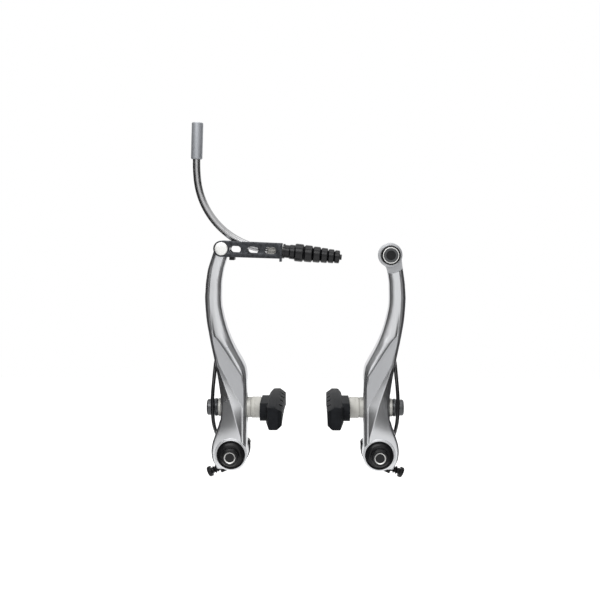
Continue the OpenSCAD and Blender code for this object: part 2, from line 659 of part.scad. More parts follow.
// The nub shows below the link; its tongue, between the plates, rests on the arm's neck
module link_stop() {
    half = link_in - seat_gap;
    low = -link_h / 2 - 1.6;
    tongue = -2.9;
    color(black) at_link() rotate([90, 0, 0]) linear_extrude(2 * half, center = true) polygon([
        [stop_reach, tongue], [7, tongue], [7, low], [4.3, low], [4.3, -link_h / 2],
        [stop_reach - 0.3, tongue - 1.1]]);
}

// Route of the noodle from the nose: each bend is [radius, angle]
bends = [[43, 22], [41.3, 56.3], [81, 7.7]];
pipe_in_nose = 4;
pipe_in_ferrule = 5;
nose_back = 0.25;              // the tilted collar stays clear of the link's end
module bend_frame(i) {
    r = bends[i][0];
    a = bends[i][1];
    translate([r * sin(a), 0, r * (1 - cos(a))]) rotate([0, -a, 0]) children();
}
// Frame of the pipe's start, X towards the ferrule
module at_pipe() {
    at_nose() translate([-nose_back - nose_len, 0, 0]) rotate([0, 0, 180]) children();
}
module at_ferrule() {
    at_pipe() bend_frame(0) bend_frame(1) bend_frame(2) children();
}
// Points of the route in the frame of the pipe's start, from bend i on
function bend_points(i, at, heading) =
    i == len(bends) ? [] :
    let (
        r = bends[i][0],
        a = bends[i][1],
        n = ceil(a / 4),
        middle = at + r * [-sin(heading), cos(heading)],
        end = middle + r * [sin(heading + a), -cos(heading + a)])
    concat([for (k = [1:n]) middle + r * [sin(heading + a * k / n), -cos(heading + a * k / n)]],
        bend_points(i + 1, end, heading + a));
route_heading = bends[0][1] + bends[1][1] + bends[2][1];
function route(before, after) =
    let (
        flat = concat([[0, 0]], bend_points(0, [0, 0], 0)),
        last = flat[len(flat) - 1],
        whole = concat([[-before, 0]], flat,
            [last + after * [cos(route_heading), sin(route_heading)]]))
    [for (q = whole) [q[0], 0, q[1]]];
module round_skin(path, r, sides) {
    skin([for (i = [0:len(path) - 1]) wire_ring(path, i, r, sides)]);
}
module along_noodle(r, bore, before, after, sides) {
    at_pipe() difference() {
        round_skin(route(before, after), r, sides);
        round_skin(route(before + 1, after + 1), bore, 12);
    }
}
module noodle_pipe() {
    color(silver) along_noodle(pipe_r, liner_r + 0.05, pipe_in_nose, pipe_in_ferrule, 20);
}
module noodle_liner() {
    color(cream) along_noodle(liner_r, cable_r, nose_len + 7, pipe_in_ferrule, 12);
}
module noodle_nose() {
    back = -nose_back - nose_len;
    color(steel) at_nose() turned_x([[back, pipe_r + seat_gap], [back, nose_r - 0.5],
        [back + 0.5, nose_r], [-nose_back, nose_r], [-nose_back, nose_tip_r],
        [5, nose_tip_r], [5.4, nose_tip_r - 0.3], [5.4, liner_r + seat_gap],
        [back + pipe_in_nose, liner_r + seat_gap], [back + pipe_in_nose, pipe_r + seat_gap]]);
}
module housing_ferrule() {
    bore = cable_housing_d / 2 + 0.08;
    color(steel) at_ferrule() turned_x([[0, pipe_r + seat_gap], [0, ferrule_r - 0.5],
        [0.6, ferrule_r], [ferrule_len - 0.2, ferrule_r], [ferrule_len, ferrule_r - 0.2],
        [ferrule_len, bore + 0.15], [ferrule_len - 0.15, bore], [pipe_in_ferrule + 2, bore],
        [pipe_in_ferrule + 2, liner_r], [pipe_in_ferrule, liner_r],
        [pipe_in_ferrule, pipe_r + seat_gap]]);
}

// Bellows boot: ribs that shrink towards the tip
boot_from = link_t + body_gap;
collar_len = 6.2;
rib_long = 5.7;
rib_short = 3.4;
function rib_step(i) = rib_long + (rib_short - rib_long) * i / (boot_ribs - 1);
function rib_start(i) = i == 0 ? boot_from + collar_len : rib_start(i - 1) + rib_step(i - 1);
function rib_r(i) = (boot_d + (boot_end_d - boot_d) * i / (boot_ribs - 1)) / 2;
function rib_points(i) =
    let (
        x = rib_start(i),
        w = rib_step(i),
        r = rib_r(i),
        neck_r = r - 1.5,
        c = 0.8)
    concat([[x + 0.02, neck_r], [x + 0.35, neck_r]],
        [for (q = arc(0, 0, c, 180, 90, 4)) [x + 0.35 + c + q[0], r - c + q[1]]],
        [for (q = arc(0, 0, c, 90, 0, 4)) [x + w - 0.2 - c + q[0], r - c + q[1]]],
        [[x + w - 0.2, neck_r]]);
module noodle_boot() {
    end = rib_start(boot_ribs);
    hollow = nose_tip_r + seat_gap;
    color(black) at_nose() turned_x(concat(
        [[boot_from, hollow], [boot_from, 3.9], [boot_from + 0.9, 3.95], [boot_from + 1.2, 3.5],
        [boot_from + 3.6, 3.5], [boot_from + 4, 3.8], [boot_from + collar_len - 0.6, 3.8]],
        [for (i = [0:boot_ribs - 1]) each rib_points(i)],
        [[end, 1.5], [end + 1, 1.35], [end + 1, cable_r], [rib_start(1), 1.6],
        [boot_from + 4.2, hollow]]));
}

// CABLE ANCHOR
module at_anchor() {
    on_right() translate([anchor_out, 0, anchor_rise]) children();
}
module anchor_plate() {
    back = anchor_front;
    color(steel) at_anchor() difference() {
        rod(anchor_plate_r, back, back + anchor_plate_t);
        rod(bolt_r + seat_gap, 0, 30);
        // groove that traps the inner cable, under the bolt
        translate([0, -back, -bolt_r - 1]) rotate([0, 90, 0])
            cylinder(r = 0.7, h = 30, center = true);
    }
}
module anchor_bolt() {
    under = anchor_front + anchor_plate_t;
    top = under + anchor_head_h;
    r = anchor_head_r;
    tip = arm_back + 1.6;
    color(black) at_anchor() difference() {
        turned(concat([[tip, 0], [tip, bolt_r - 0.5], [tip + 0.5, bolt_r], [under, bolt_r],
            [under, r]],
            [for (q = arc(0, 0, 0.8, 0, 90, 4)) [top - 0.8 + q[1], r - 0.8 + q[0]]],
            [[top, socket_r + 0.4], [top - 0.3, socket_r + 0.15], [top - 0.3, 0]]));
        translate([0, -top + 3.4, 0]) rotate([90, 30, 0]) cylinder(r = socket_r, h = 5, $fn = 6);
    }
}

left_arm();
right_arm();
on_left() pivot_sleeve();  // left_pivot_sleeve
on_right() pivot_sleeve();  // right_pivot_sleeve
on_left() fixing_bolt();  // left_fixing_bolt
on_right() fixing_bolt();  // right_fixing_bolt
on_left() dust_ring();  // left_dust_ring
on_right() dust_ring();  // right_dust_ring
on_left() spring_housing();  // left_spring_housing
on_right() spring_housing();  // right_spring_housing
on_left() return_spring();  // left_return_spring
on_right() return_spring();  // right_return_spring
on_left() tension_screw();  // left_tension_screw
on_right() tension_screw();  // right_tension_screw
on_left() brake_pad();  // left_brake_pad
on_right() brake_pad();  // right_brake_pad
on_left() shoe_stud();  // left_shoe_stud
on_right() shoe_stud();  // right_shoe_stud
on_left() inner_cup_washer();  // left_inner_cup_washer
on_right() inner_cup_washer();  // right_inner_cup_washer
on_left() spacer_washer();  // left_spacer_washer
on_right() spacer_washer();  // right_spacer_washer
on_left() outer_cup_washer();  // left_outer_cup_washer
on_right() outer_cup_washer();  // right_outer_cup_washer
on_left() outer_dome_washer();  // left_outer_dome_washer
on_right() outer_dome_washer();  // right_outer_dome_washer
on_left() flat_washer();  // left_flat_washer
on_right() flat_washer();  // right_flat_washer
on_left() shoe_nut();  // left_shoe_nut
on_right() shoe_nut();  // right_shoe_nut
cable_link();
link_pin();
link_pin_ring();
link_stop();
noodle_nose();
noodle_pipe();
noodle_liner();
housing_ferrule();
noodle_boot();
anchor_bolt();
anchor_plate();
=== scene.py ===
import bpy
import bmesh
import json
import math
from mathutils import Vector, Matrix


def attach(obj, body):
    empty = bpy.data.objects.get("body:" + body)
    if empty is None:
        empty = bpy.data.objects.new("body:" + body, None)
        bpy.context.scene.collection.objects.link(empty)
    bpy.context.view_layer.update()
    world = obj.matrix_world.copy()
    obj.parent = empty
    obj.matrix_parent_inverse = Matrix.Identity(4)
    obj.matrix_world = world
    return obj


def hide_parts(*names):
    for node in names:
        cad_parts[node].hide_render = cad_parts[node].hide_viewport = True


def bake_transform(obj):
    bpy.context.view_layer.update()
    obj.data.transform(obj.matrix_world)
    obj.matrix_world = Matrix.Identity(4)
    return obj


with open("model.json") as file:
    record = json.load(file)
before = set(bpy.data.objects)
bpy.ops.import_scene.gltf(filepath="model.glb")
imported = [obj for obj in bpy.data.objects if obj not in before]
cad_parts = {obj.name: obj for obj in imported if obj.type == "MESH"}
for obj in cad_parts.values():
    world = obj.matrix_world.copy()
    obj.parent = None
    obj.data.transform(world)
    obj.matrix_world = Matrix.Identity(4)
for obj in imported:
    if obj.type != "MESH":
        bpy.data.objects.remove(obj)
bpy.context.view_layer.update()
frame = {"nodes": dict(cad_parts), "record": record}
print("frame loaded:", len(frame["nodes"]), "nodes")

scene = bpy.context.scene
scene.view_settings.view_transform = "Standard"
mm = 0.001
sides = {"left": -1, "right": 1}

# camera and studio
camera = {"distance": 0.48, "pitch": 4.5, "turn": 1.0, "focus": 53.4,
          "target": (-0.0028, -0.014, 0.0833), "clip": (0.01, 20)}
studio = {"floorHeight": -0.3, "floorSize": 4.0, "floorColour": (0.93, 0.93, 0.93),
          "floorGlow": 0.6, "skyLevel": 0.68, "lampTarget": (0, 0, 0.06),
          "lamps": (("key", (-0.25, -0.8, 0.7), (0.75, 0.55), 5.2),
                    ("fill", (0.45, -0.75, 0.2), (0.4, 0.6), 0.5),
                    ("top", (0.0, -0.1, 0.9), (0.8, 0.5), 1.8)),
          # cards beside the brake, hidden from the camera: middle, width, height, turn, grey
          "cards": (("leftCard", (-0.34, 0.02, 0.04), 0.48, 0.6, 90, 0.03),
                    ("rightCard", (0.34, 0.02, 0.04), 0.48, 0.6, 90, 0.03),
                    ("leftWing", (-0.34, -0.47, 0.04), 0.48, 0.6, 90, 0.15),
                    ("rightWing", (0.34, -0.47, 0.04), 0.48, 0.6, 90, 0.15))}


def aimAt(obj, target):
    direction = Vector(target) - obj.location
    obj.rotation_mode = "QUATERNION"
    obj.rotation_quaternion = direction.to_track_quat("-Z", "Y")


def addCamera():
    data = bpy.data.cameras.new("view")
    data.lens = camera["focus"]
    data.clip_start, data.clip_end = camera["clip"]
    obj = bpy.data.objects.new("view", data)
    scene.collection.objects.link(obj)
    turn, pitch = math.radians(camera["turn"]), math.radians(camera["pitch"])
    back = Vector((math.sin(turn) * math.cos(pitch), -math.cos(turn) * math.cos(pitch), math.sin(pitch)))
    obj.location = Vector(camera["target"]) + back * camera["distance"]
    aimAt(obj, camera["target"])
    scene.camera = obj


def addLamps():
    for name, place, size, power in studio["lamps"]:
        data = bpy.data.lights.new(name, "AREA")
        data.shape = "RECTANGLE"
        data.size, data.size_y = size
        data.energy = power
        obj = bpy.data.objects.new(name, data)
        scene.collection.objects.link(obj)
        obj.location = place
        aimAt(obj, studio["lampTarget"])


addCamera()
addLamps()
print("camera and lamps placed")


# node helpers
class Wire:
    # a socket of a node tree that takes part in plain arithmetic
    def __init__(self, tree, socket):
        self.tree, self.socket = tree, socket

    def node(self, kind, settings=None, **values):
        return makeNode(self.tree, kind, settings, **values)

    def math(self, operation, *others):
        return self.node("ShaderNodeMath", {"operation": operation},
                         **{"i%d" % i: v for i, v in enumerate((self,) + others)})

    def __add__(self, other):
        return self.math("ADD", other)

    def __radd__(self, other):
        return self.math("ADD", other)

    def __sub__(self, other):
        return self.math("SUBTRACT", other)

    def __rsub__(self, other):
        return self.node("ShaderNodeMath", {"operation": "SUBTRACT"}, i0=other, i1=self)

    def __mul__(self, other):
        return self.math("MULTIPLY", other)

    def __rmul__(self, other):
        return self.math("MULTIPLY", other)

    def __truediv__(self, other):
        return self.math("DIVIDE", other)

    def clamp(self, low=0.0, high=1.0):
        return self.math("MAXIMUM", low).math("MINIMUM", high)

    def ramp(self, low, high):
        return ((self - low) * (1 / (high - low))).clamp()


def makeNode(tree, kind, settings=None, out=0, **values):
    # an input is named with underscores for spaces, or numbered as i0, i1 and so on
    node = tree.nodes.new(kind)
    for key, value in (settings or {}).items():
        setattr(node, key, value)
    for key, value in values.items():
        numbered = key[0] == "i" and key[1:].isdigit()
        socket = node.inputs[int(key[1:]) if numbered else key.replace("_", " ")]
        if isinstance(value, Wire):
            tree.links.new(value.socket, socket)
        else:
            socket.default_value = value
    return Wire(tree, node.outputs[out]) if node.outputs else None


# finishes: what each slot looks like
lookKeys = ("colour", "metal", "rough", "vary", "grain", "bump", "spread", "rubSheen", "shine")
looks = {
    "arm_aluminium": ((0.6, 0.607, 0.62), 0.95, 0.3, 0.04, 2600, 0.02, 60, 0.1, 0.5),
    # a darker copy of the arm's aluminium, used as painted shade where faces should read mid-grey
    "shaded_aluminium": ((0.4, 0.406, 0.418), 0.9, 0.42, 0.05, 2600, 0.02, 60, 0.0, 0.5),
    "bright_steel": ((0.44, 0.435, 0.41), 0.35, 0.5, 0.04, 2200, 0.02, 200, 0.0, 0.5),
    "satin_steel": ((0.08, 0.082, 0.085), 0.9, 0.3, 0.06, 2200, 0.02, 240, 0.0, 0.5),
    "worn_steel": ((0.42, 0.415, 0.4), 1.0, 0.3, 0.15, 4200, 0.06, 420, 0.0, 0.5),
    "dark_steel": ((0.036, 0.038, 0.042), 0.8, 0.3, 0.65, 1700, 0.2, 520, 1.4, 0.5),
    "black_steel": ((0.009, 0.009, 0.01), 0.0, 0.3, 0.2, 3000, 0.05, 300, 0.9, 0.22),
    "spring_wire": ((0.006, 0.006, 0.007), 0.0, 0.22, 0.2, 3000, 0.03, 260, 0.0, 0.3),
    "black_plastic": ((0.007, 0.007, 0.008), 0.0, 0.4, 0.25, 3800, 0.08, 240, 0.0, 0.2),
    "pad_rubber": ((0.015, 0.016, 0.018), 0.0, 0.5, 0.3, 2400, 0.16, 160, 0.3, 0.03),
    "cream_plastic": ((0.57, 0.56, 0.52), 0.0, 0.48, 0.06, 2800, 0.06, 300, 0.0, 0.5),
    "polished_steel": ((0.4, 0.4, 0.405), 1.0, 0.27, 0.05, 5000, 0.015, 240, 0.0, 0.5),
    # near-white steel that paints bright highlights on bolt rings and on the link pin's cap
    "highlight_steel": ((0.9, 0.9, 0.88), 0.35, 0.4, 0.02, 5000, 0.015, 240, 0.0, 0.5),
    "ferrule_grey": ((0.38, 0.395, 0.42), 0.5, 0.5, 0.02, 1800, 0.01, 260, 0.0, 0.5),
    "boot_rubber": ((0.005, 0.005, 0.006), 0.0, 0.25, 0.3, 2600, 0.08, 300, 0.0, 0.3),
}
finishes = {name: dict(zip(lookKeys, row)) for name, row in looks.items()}
# how the noise and the rubbed edges act in every finish; the rubbed edges are partly wear and partly a
# painted highlight
surface = {"cloudShare": 0.6, "toneRange": (0.3, 0.7), "roughSwing": 0.16, "sheenEdgeRange": (0.52, 0.6),
           "rubSheenRange": (0.35, 0.6), "rubSheenShare": 0.5, "rubSheenLight": 2.2, "rubSheenRough": 0.05, "bumpDepth": 0.0001}


def scaled(colour, amount):
    return tuple(min(1, c * amount) for c in colour[:3]) + (1,)


def newMaterial(name):
    material = bpy.data.materials.new(name)
    material.use_nodes = True
    material.node_tree.nodes.clear()
    return material, material.node_tree


def makeFinish(name, look):
    material, tree = newMaterial(name)
    place = makeNode(tree, "ShaderNodeTexCoord", out=3)
    cloud = makeNode(tree, "ShaderNodeTexNoise", {"noise_dimensions": "3D"}, Vector=place,
                     Scale=look["spread"], Detail=4.0, Roughness=0.55)
    grain = makeNode(tree, "ShaderNodeTexNoise", {"noise_dimensions": "3D"}, Vector=place,
                     Scale=look["grain"], Detail=2.0, Roughness=0.6)
    share = surface["cloudShare"]
    tone = (cloud * share + grain * (1 - share)).ramp(*surface["toneRange"])
    colour = makeNode(tree, "ShaderNodeMix", {"data_type": "RGBA"}, out=2, i0=tone,
                      i6=scaled(look["colour"], 1 - look["vary"]),
                      i7=scaled(look["colour"], 1 + look["vary"]))
    rough = (cloud - 0.5) * surface["roughSwing"] + look["rough"]
    if look["rubSheen"]:
        # pointed edges are painted brighter in cloudy patches: partly rubbed wear, partly a painted
        # highlight along the edges
        pointed = makeNode(tree, "ShaderNodeNewGeometry", out=7).ramp(*surface["sheenEdgeRange"])
        edge = pointed * cloud.ramp(*surface["rubSheenRange"])
        colour = makeNode(tree, "ShaderNodeMix", {"data_type": "RGBA"}, out=2,
                          i0=edge * (look["rubSheen"] * surface["rubSheenShare"]), i6=colour,
                          i7=scaled(look["colour"], surface["rubSheenLight"]))
        rough = rough + edge * surface["rubSheenRough"]
    bump = makeNode(tree, "ShaderNodeBump", Strength=look["bump"], Distance=surface["bumpDepth"],
                    Height=grain)
    shader = makeNode(tree, "ShaderNodeBsdfPrincipled", Base_Color=colour, Metallic=look["metal"],
                      Roughness=rough.clamp(0.05, 1), Specular_IOR_Level=look["shine"], Normal=bump)
    makeNode(tree, "ShaderNodeOutputMaterial", Surface=shader)
    return material


materials = {name: makeFinish(name, look) for name, look in finishes.items()}
slotOf = {s["node"]: s["material_slot"] for s in frame["record"]["subparts"]}
bodyOf = {n: body for body, names in frame["record"]["behaviour"]["bodies"].items() for n in names}
print("finishes made:", len(materials))
for name, node in frame["nodes"].items():
    node.data.materials.clear()
    node.data.materials.append(materials[slotOf[name]])


# mesh helpers
def newObject(name, mesh):
    obj = bpy.data.objects.new(name, mesh)
    scene.collection.objects.link(obj)
    return obj


def baked(obj):
    # replaces an object's mesh by what its modifiers make of it
    depsgraph = bpy.context.evaluated_depsgraph_get()
    mesh = bpy.data.meshes.new_from_object(obj.evaluated_get(depsgraph))
    old = obj.data
    obj.modifiers.clear()
    obj.data = mesh
    bpy.data.meshes.remove(old)
    return obj


def shade(mesh, angle=32):
    # smooth faces with sharp edges where the surface turns by more than the angle
    bm = bmesh.new()
    bm.from_mesh(mesh)
    limit = math.radians(angle)
    for edge in bm.edges:
        edge.smooth = len(edge.link_faces) == 2 and edge.calc_face_angle(0) < limit
    for face in bm.faces:
        face.smooth = True
        face.material_index = 0
    bm.to_mesh(mesh)
    bm.free()


def dress(obj, node, finish=None, ride=None, angle=32):
    slot = slotOf[node]
    shade(obj.data, angle)
    obj.data.materials.clear()
    obj.data.materials.append(materials[finish or slot])
    if ride != "blend":
        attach(obj, ride or bodyOf[node])
    if node in frame["nodes"]:
        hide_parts(node)
    return obj


def tint(obj, finish, chosen):
    # gives a second finish to the faces that chosen(middle in mm, normal) picks
    obj.data.materials.append(materials[finish])
    last = len(obj.data.materials) - 1
    for face in obj.data.polygons:
        if chosen(face.center / mm, face.normal):
            face.material_index = last


def refined(node, name, bevel, segments=2, finish=None, angle=28):
    # the CAD node's own form with its edges rounded
    bm = bmesh.new()
    bm.from_mesh(frame["nodes"][node].data)
    bmesh.ops.remove_doubles(bm, verts=bm.verts, dist=0.001 * mm)
    bmesh.ops.dissolve_limit(bm, angle_limit=math.radians(0.25), verts=bm.verts, edges=bm.edges)
    mesh = bpy.data.meshes.new(name)
    bm.to_mesh(mesh)
    bm.free()
    obj = newObject(name, mesh)
    rounding = obj.modifiers.new("rounding", "BEVEL")
    rounding.width = bevel * mm
    rounding.segments = segments
    rounding.limit_method = "ANGLE"
    rounding.angle_limit = math.radians(angle)
    return dress(baked(obj), node, finish)


def solidFrom(name, bm):
    bmesh.ops.recalc_face_normals(bm, faces=bm.faces)
    mesh = bpy.data.meshes.new(name)
    bm.to_mesh(mesh)
    bm.free()
    return newObject(name, mesh)


def revolved(name, points, place, along, count=72, rounding=0.12):
    # a turned piece: closed outline of (distance, radius) in mm, round a line through place in metres
    outline = roundedOutline(points, rounding)
    forward = Vector(along).normalized()
    side = forward.orthogonal().normalized()
    up = forward.cross(side)
    bm = bmesh.new()
    rings = []
    for d, r in outline:
        centre = Vector(place) + forward * d * mm
        if r < 1e-6:
            rings.append([bm.verts.new(centre)])
        else:
            rings.append([bm.verts.new(centre + (side * math.cos(t) + up * math.sin(t)) * r * mm)
                          for t in (2 * math.pi * k / count for k in range(count))])
    for a, b in zip(rings, rings[1:] + rings[:1]):
        if len(a) == 1 and len(b) == 1:
            continue
        for k in range(count):
            m = (k + 1) % count
            face = [a[k % len(a)], a[m % len(a)], b[m % len(b)], b[k % len(b)]]
            face = [v for i, v in enumerate(face) if v not in face[:i]]
            if len(face) > 2:
                bm.faces.new(face)
    return solidFrom(name, bm)


def roundedOutline(points, rounding, steps=3):
    # rounds the corners of a closed outline, except those on the axis
    result = []
    count = len(points)
    for i, p in enumerate(points):
        corner = Vector(p)
        a, b = Vector(points[i - 1]) - corner, Vector(points[(i + 1) % count]) - corner
        reach = min(rounding, a.length * 0.4, b.length * 0.4)
        if p[1] < 1e-6 or reach < 0.01 or a.angle(b) > math.radians(168):
            result.append(tuple(p))
            continue
        start, end = corner + a.normalized() * reach, corner + b.normalized() * reach
        for k in range(steps + 1):
            t = k / steps
            result.append(tuple(start * (1 - t) ** 2 + corner * 2 * t * (1 - t) + end * t * t))
    return result


def rod(start, end, radius):
    # outline of a solid round bar
    return [(start, 0), (start, radius), (end, radius), (end, 0)]


def tube(start, end, inner, outer):
    # outline of a plain ring
    return [(start, inner), (start, outer), (end, outer), (end, inner)]


def prism(name, place, along, radius, length, count=6, twist=0.0):
    # its place is in metres, its radius and length are in mm
    bm = bmesh.new()
    forward = Vector(along).normalized()
    side = forward.orthogonal().normalized()
    up = forward.cross(side)
    turns = [2 * math.pi * k / count + twist for k in range(count)]
    corners = [(side * math.cos(t) + up * math.sin(t)) * radius for t in turns]
    rings = [[bm.verts.new(Vector(place) + (forward * d + c) * mm) for c in corners] for d in (0, length)]
    bm.faces.new(rings[0][::-1])
    bm.faces.new(rings[1])
    for k in range(count):
        m = (k + 1) % count
        bm.faces.new([rings[0][k], rings[0][m], rings[1][m], rings[1][k]])
    return solidFrom(name, bm)


def box(name, low, high):
    (x0, y0, z0), (x1, y1, z1) = low, high
    corners = [(x, y, z) for x in (x0, x1) for y in (y0, y1) for z in (z0, z1)]
    mesh = bpy.data.meshes.new(name)
    mesh.from_pydata([Vector(c) * mm for c in corners], [],
                     [(0, 1, 3, 2), (4, 6, 7, 5), (0, 4, 5, 1), (2, 3, 7, 6), (0, 2, 6, 4), (1, 5, 7, 3)])
    return newObject(name, mesh)


def combine(obj, others, operation):
    for other in others:
        tool = obj.modifiers.new("shape", "BOOLEAN")
        tool.operation = operation
        tool.solver = "EXACT"
        tool.object = other
    baked(obj)
    for other in others:
        bpy.data.objects.remove(other)
    # the cut edges are welded, and a sliver that a cut leaves open is filled
    bm = bmesh.new()
    bm.from_mesh(obj.data)
    bmesh.ops.remove_doubles(bm, verts=bm.verts, dist=0.0005 * mm)
    bmesh.ops.holes_fill(bm, edges=[e for e in bm.edges if len(e.link_faces) == 1], sides=8)
    bm.to_mesh(obj.data)
    bm.free()
    return obj


def joined(obj, others):
    # puts other objects' meshes into one piece
    bm = bmesh.new()
    bm.from_mesh(obj.data)
    for other in others:
        bm.from_mesh(other.data)
        bpy.data.objects.remove(other)
    bm.to_mesh(obj.data)
    bm.free()
    return obj


def mirrored(obj, sign):
    # the left piece is the right one seen in a mirror
    if sign < 0:
        bm = bmesh.new()
        bm.from_mesh(obj.data)
        for v in bm.verts:
            v.co.x = -v.co.x
        bmesh.ops.reverse_faces(bm, faces=bm.faces)
        bm.to_mesh(obj.data)
        bm.free()
    return obj


# Geometry Nodes helpers
def newTree(name, inputs):
    # inputs: (label, socket type, value); returns the tree, its wires by label and the input ids
    tree = bpy.data.node_groups.new(name, "GeometryNodeTree")
    tree.interface.new_socket("Geometry", in_out="INPUT", socket_type="NodeSocketGeometry")
    ids = {}
    for label, kind, value in inputs:
        socket = tree.interface.new_socket(label, in_out="INPUT", socket_type="NodeSocket" + kind)
        if value is not None:
            socket.default_value = value
        ids[label] = socket.identifier
    tree.interface.new_socket("Geometry", in_out="OUTPUT", socket_type="NodeSocketGeometry")
    enter = tree.nodes.new("NodeGroupInput")
    wires = {s.name: Wire(tree, s) for s in enter.outputs if s.name}
    return tree, wires, ids


def endTree(tree, geometry, finish):
    whole = makeNode(tree, "GeometryNodeRealizeInstances", Geometry=geometry)
    done = makeNode(tree, "GeometryNodeSetMaterial", Geometry=whole, Material=finish)
    leave = tree.nodes.new("NodeGroupOutput")
    tree.links.new(done.socket, leave.inputs[0])


def grown(obj, tree, ids, values):
    # runs a tree on an object and keeps the plain mesh that it gives
    step = obj.modifiers.new("grown", "NODES")
    step.node_group = tree
    for label, value in values.items():
        step[ids[label]] = value
    return baked(obj)


def polyline(name, points):
    mesh = bpy.data.meshes.new(name)
    mesh.from_pydata([Vector(p) * mm for p in points], [(i, i + 1) for i in range(len(points) - 1)], [])
    return newObject(name, mesh)


def sweptTree():
    # a round wire or pipe along a line of points
    tree, wires, ids = newTree("sweptWire", (("Radius", "Float", 0.001), ("Sides", "Int", 20),
                                             ("Steps", "Int", 3), ("Finish", "Material", None)))
    curve = makeNode(tree, "GeometryNodeMeshToCurve", Mesh=wires["Geometry"])
    curve = makeNode(tree, "GeometryNodeCurveSplineType", {"spline_type": "CATMULL_ROM"}, Curve=curve)
    curve = makeNode(tree, "GeometryNodeSetSplineResolution", Geometry=curve, Resolution=wires["Steps"])
    ring = makeNode(tree, "GeometryNodeCurvePrimitiveCircle", Resolution=wires["Sides"],
                    Radius=wires["Radius"])
    tube = makeNode(tree, "GeometryNodeCurveToMesh", Curve=curve, Profile_Curve=ring, Fill_Caps=True)
    endTree(tree, tube, wires["Finish"])
    return tree, ids


def threadTree():
    # a round bar along +X from zero whose surface winds up and down as a screw thread
    tree, wires, ids = newTree("screwThread", (("Radius", "Float", 0.003), ("Length", "Float", 0.01),
                                               ("Pitch", "Float", 0.001), ("Depth", "Float", 0.0006),
                                               ("Hand", "Float", 1.0), ("Finish", "Material", None)))
    steps = (wires["Length"] / wires["Pitch"]) * 8 + 2
    bar = makeNode(tree, "GeometryNodeMeshCylinder", Vertices=40, Side_Segments=steps.math("FLOOR"),
                   Radius=wires["Radius"], Depth=wires["Length"])
    place = makeNode(tree, "GeometryNodeInputPosition")
    parts = makeNode(tree, "ShaderNodeSeparateXYZ", i0=place).socket.node.outputs
    x, y, z = (Wire(tree, part) for part in parts)
    angle = y.math("ARCTAN2", x) * (1 / (2 * math.pi)) * wires["Hand"]
    fromEnd = z + wires["Length"] * 0.5
    turn = (fromEnd / wires["Pitch"] - angle).math("FRACT")
    ridge = 1 - ((turn - 0.5).math("ABSOLUTE") * 2.6).clamp(0, 1)
    near = fromEnd.math("MINIMUM", wires["Length"] - fromEnd)
    fade = (near / wires["Pitch"]).clamp(0, 1)
    scale = 1 - (1 - ridge * fade) * wires["Depth"] / wires["Radius"]
    moved = makeNode(tree, "ShaderNodeCombineXYZ", X=fromEnd, Y=x * scale, Z=y * scale)
    shaped = makeNode(tree, "GeometryNodeSetPosition", Geometry=bar, Position=moved)
    endTree(tree, shaped, wires["Finish"])
    return tree, ids


sweptGroup, sweptIds = sweptTree()
threadGroup, threadIds = threadTree()


def sweep(name, points, radius, finish, sides=20, steps=3):
    obj = polyline(name, points)
    return grown(obj, sweptGroup, sweptIds, {"Radius": radius * mm, "Sides": sides, "Steps": steps,
                                             "Finish": materials[finish]})


def thread(name, place, along, radius, length, pitch, depth, finish, hand=1.0):
    obj = grown(polyline(name, [(0, 0, 0), (1, 0, 0)]), threadGroup, threadIds,
                {"Radius": radius * mm, "Length": length * mm, "Pitch": pitch * mm, "Depth": depth * mm,
                 "Hand": hand, "Finish": materials[finish]})
    turn = Vector((1, 0, 0)).rotation_difference(Vector(along)).to_matrix().to_4x4()
    obj.data.transform(Matrix.Translation(Vector(place) * mm) @ turn)
    return obj


# sizes in millimetres: each arm's own frame has its pivot at zero, X outwards, Y back
brake = {"bossHalf": 40, "anchorRise": 107.6, "anchorOut": 5.4, "linkOut": 4.6, "linkRise": 111,
         "innerFace": 8.3, "outerFace": 5.8, "hubR": 8.8, "back": 7, "panel": 18.2, "hub": 20.9,
         "bow": 9.6, "shaftW": 8.8, "cableDepth": 14, "studDepth": 12.2, "shoeRise": 24.4,
         "shoeTravel": 5, "sleeveR": 5.3, "sleeveFront": 21.2, "boltR": 3, "socketR": 2.887}


# arms
arm = {"rings": 150, "from": -0.075, "corner": 1.2, "bevelRise": 1.15, "headR": 4.2, "bossR": 6.1,
       "spotR": 9.8, "rimR": 8.25, "discR": 7.6,
       "headHalf": 4, "cheekR": 10, "pinHoleR": 2.05, "boltHoleR": 3.02, "slotR": 3.2, "nutSeatR": 5.2,
       "legHoleR": 1.2, "cutEnd": 30}
bow, half = brake["bow"], brake["shaftW"] / 2
shaftRows = [(0.563, bow - 4.4, half + 1.5), (0.604, bow - 3.1, half + 1), (0.644, bow - 2, half + 0.7),
             (0.685, bow - 1.1, half + 0.4), (0.744, bow - 0.2, half), (0.785, bow, half),
             (0.865, bow - 0.4, half - 0.2), (0.93, bow - 1.5, half - 0.2)]
hubR, outF, inF = brake["hubR"], brake["outerFace"], brake["innerFace"]
outerEdge = [(-0.075, hubR - 1), (-0.03, hubR + 1.5), (0.015, hubR + 2), (0.055, hubR + 1.4), (0.095, hubR),
             (0.136, outF + 1.4), (0.178, outF + 0.3), (0.24, outF), (0.3, outF + 0.3), (0.4, outF + 1.8),
             (0.482, outF + 3.5)] + [(s, m + w) for s, m, w in shaftRows]
innerEdge = [(-0.075, -inF + 3.6), (-0.05, -inF + 1.9), (-0.025, -inF + 0.9), (0.02, -inF), (0.4, -inF),
             (0.442, -inF + 0.7), (0.482, -inF + 3), (0.523, -inF + 5.5)]
innerEdge += [(s, m - w) for s, m, w in shaftRows]
ridgeLine = [(0, -6), (0.076, -5.7), (0.125, -4), (0.25, -0.2), (0.475, 8.1), (0.6, 13)]
panelLine = [(0, -7), (0.23, -6.5), (0.478, 8), (0.6, 14)]
creaseLine = [(0.3, -7.5), (0.383, -6.2), (0.528, 3.5), (0.578, 7.2), (0.62, 11.6), (0.66, 14)]
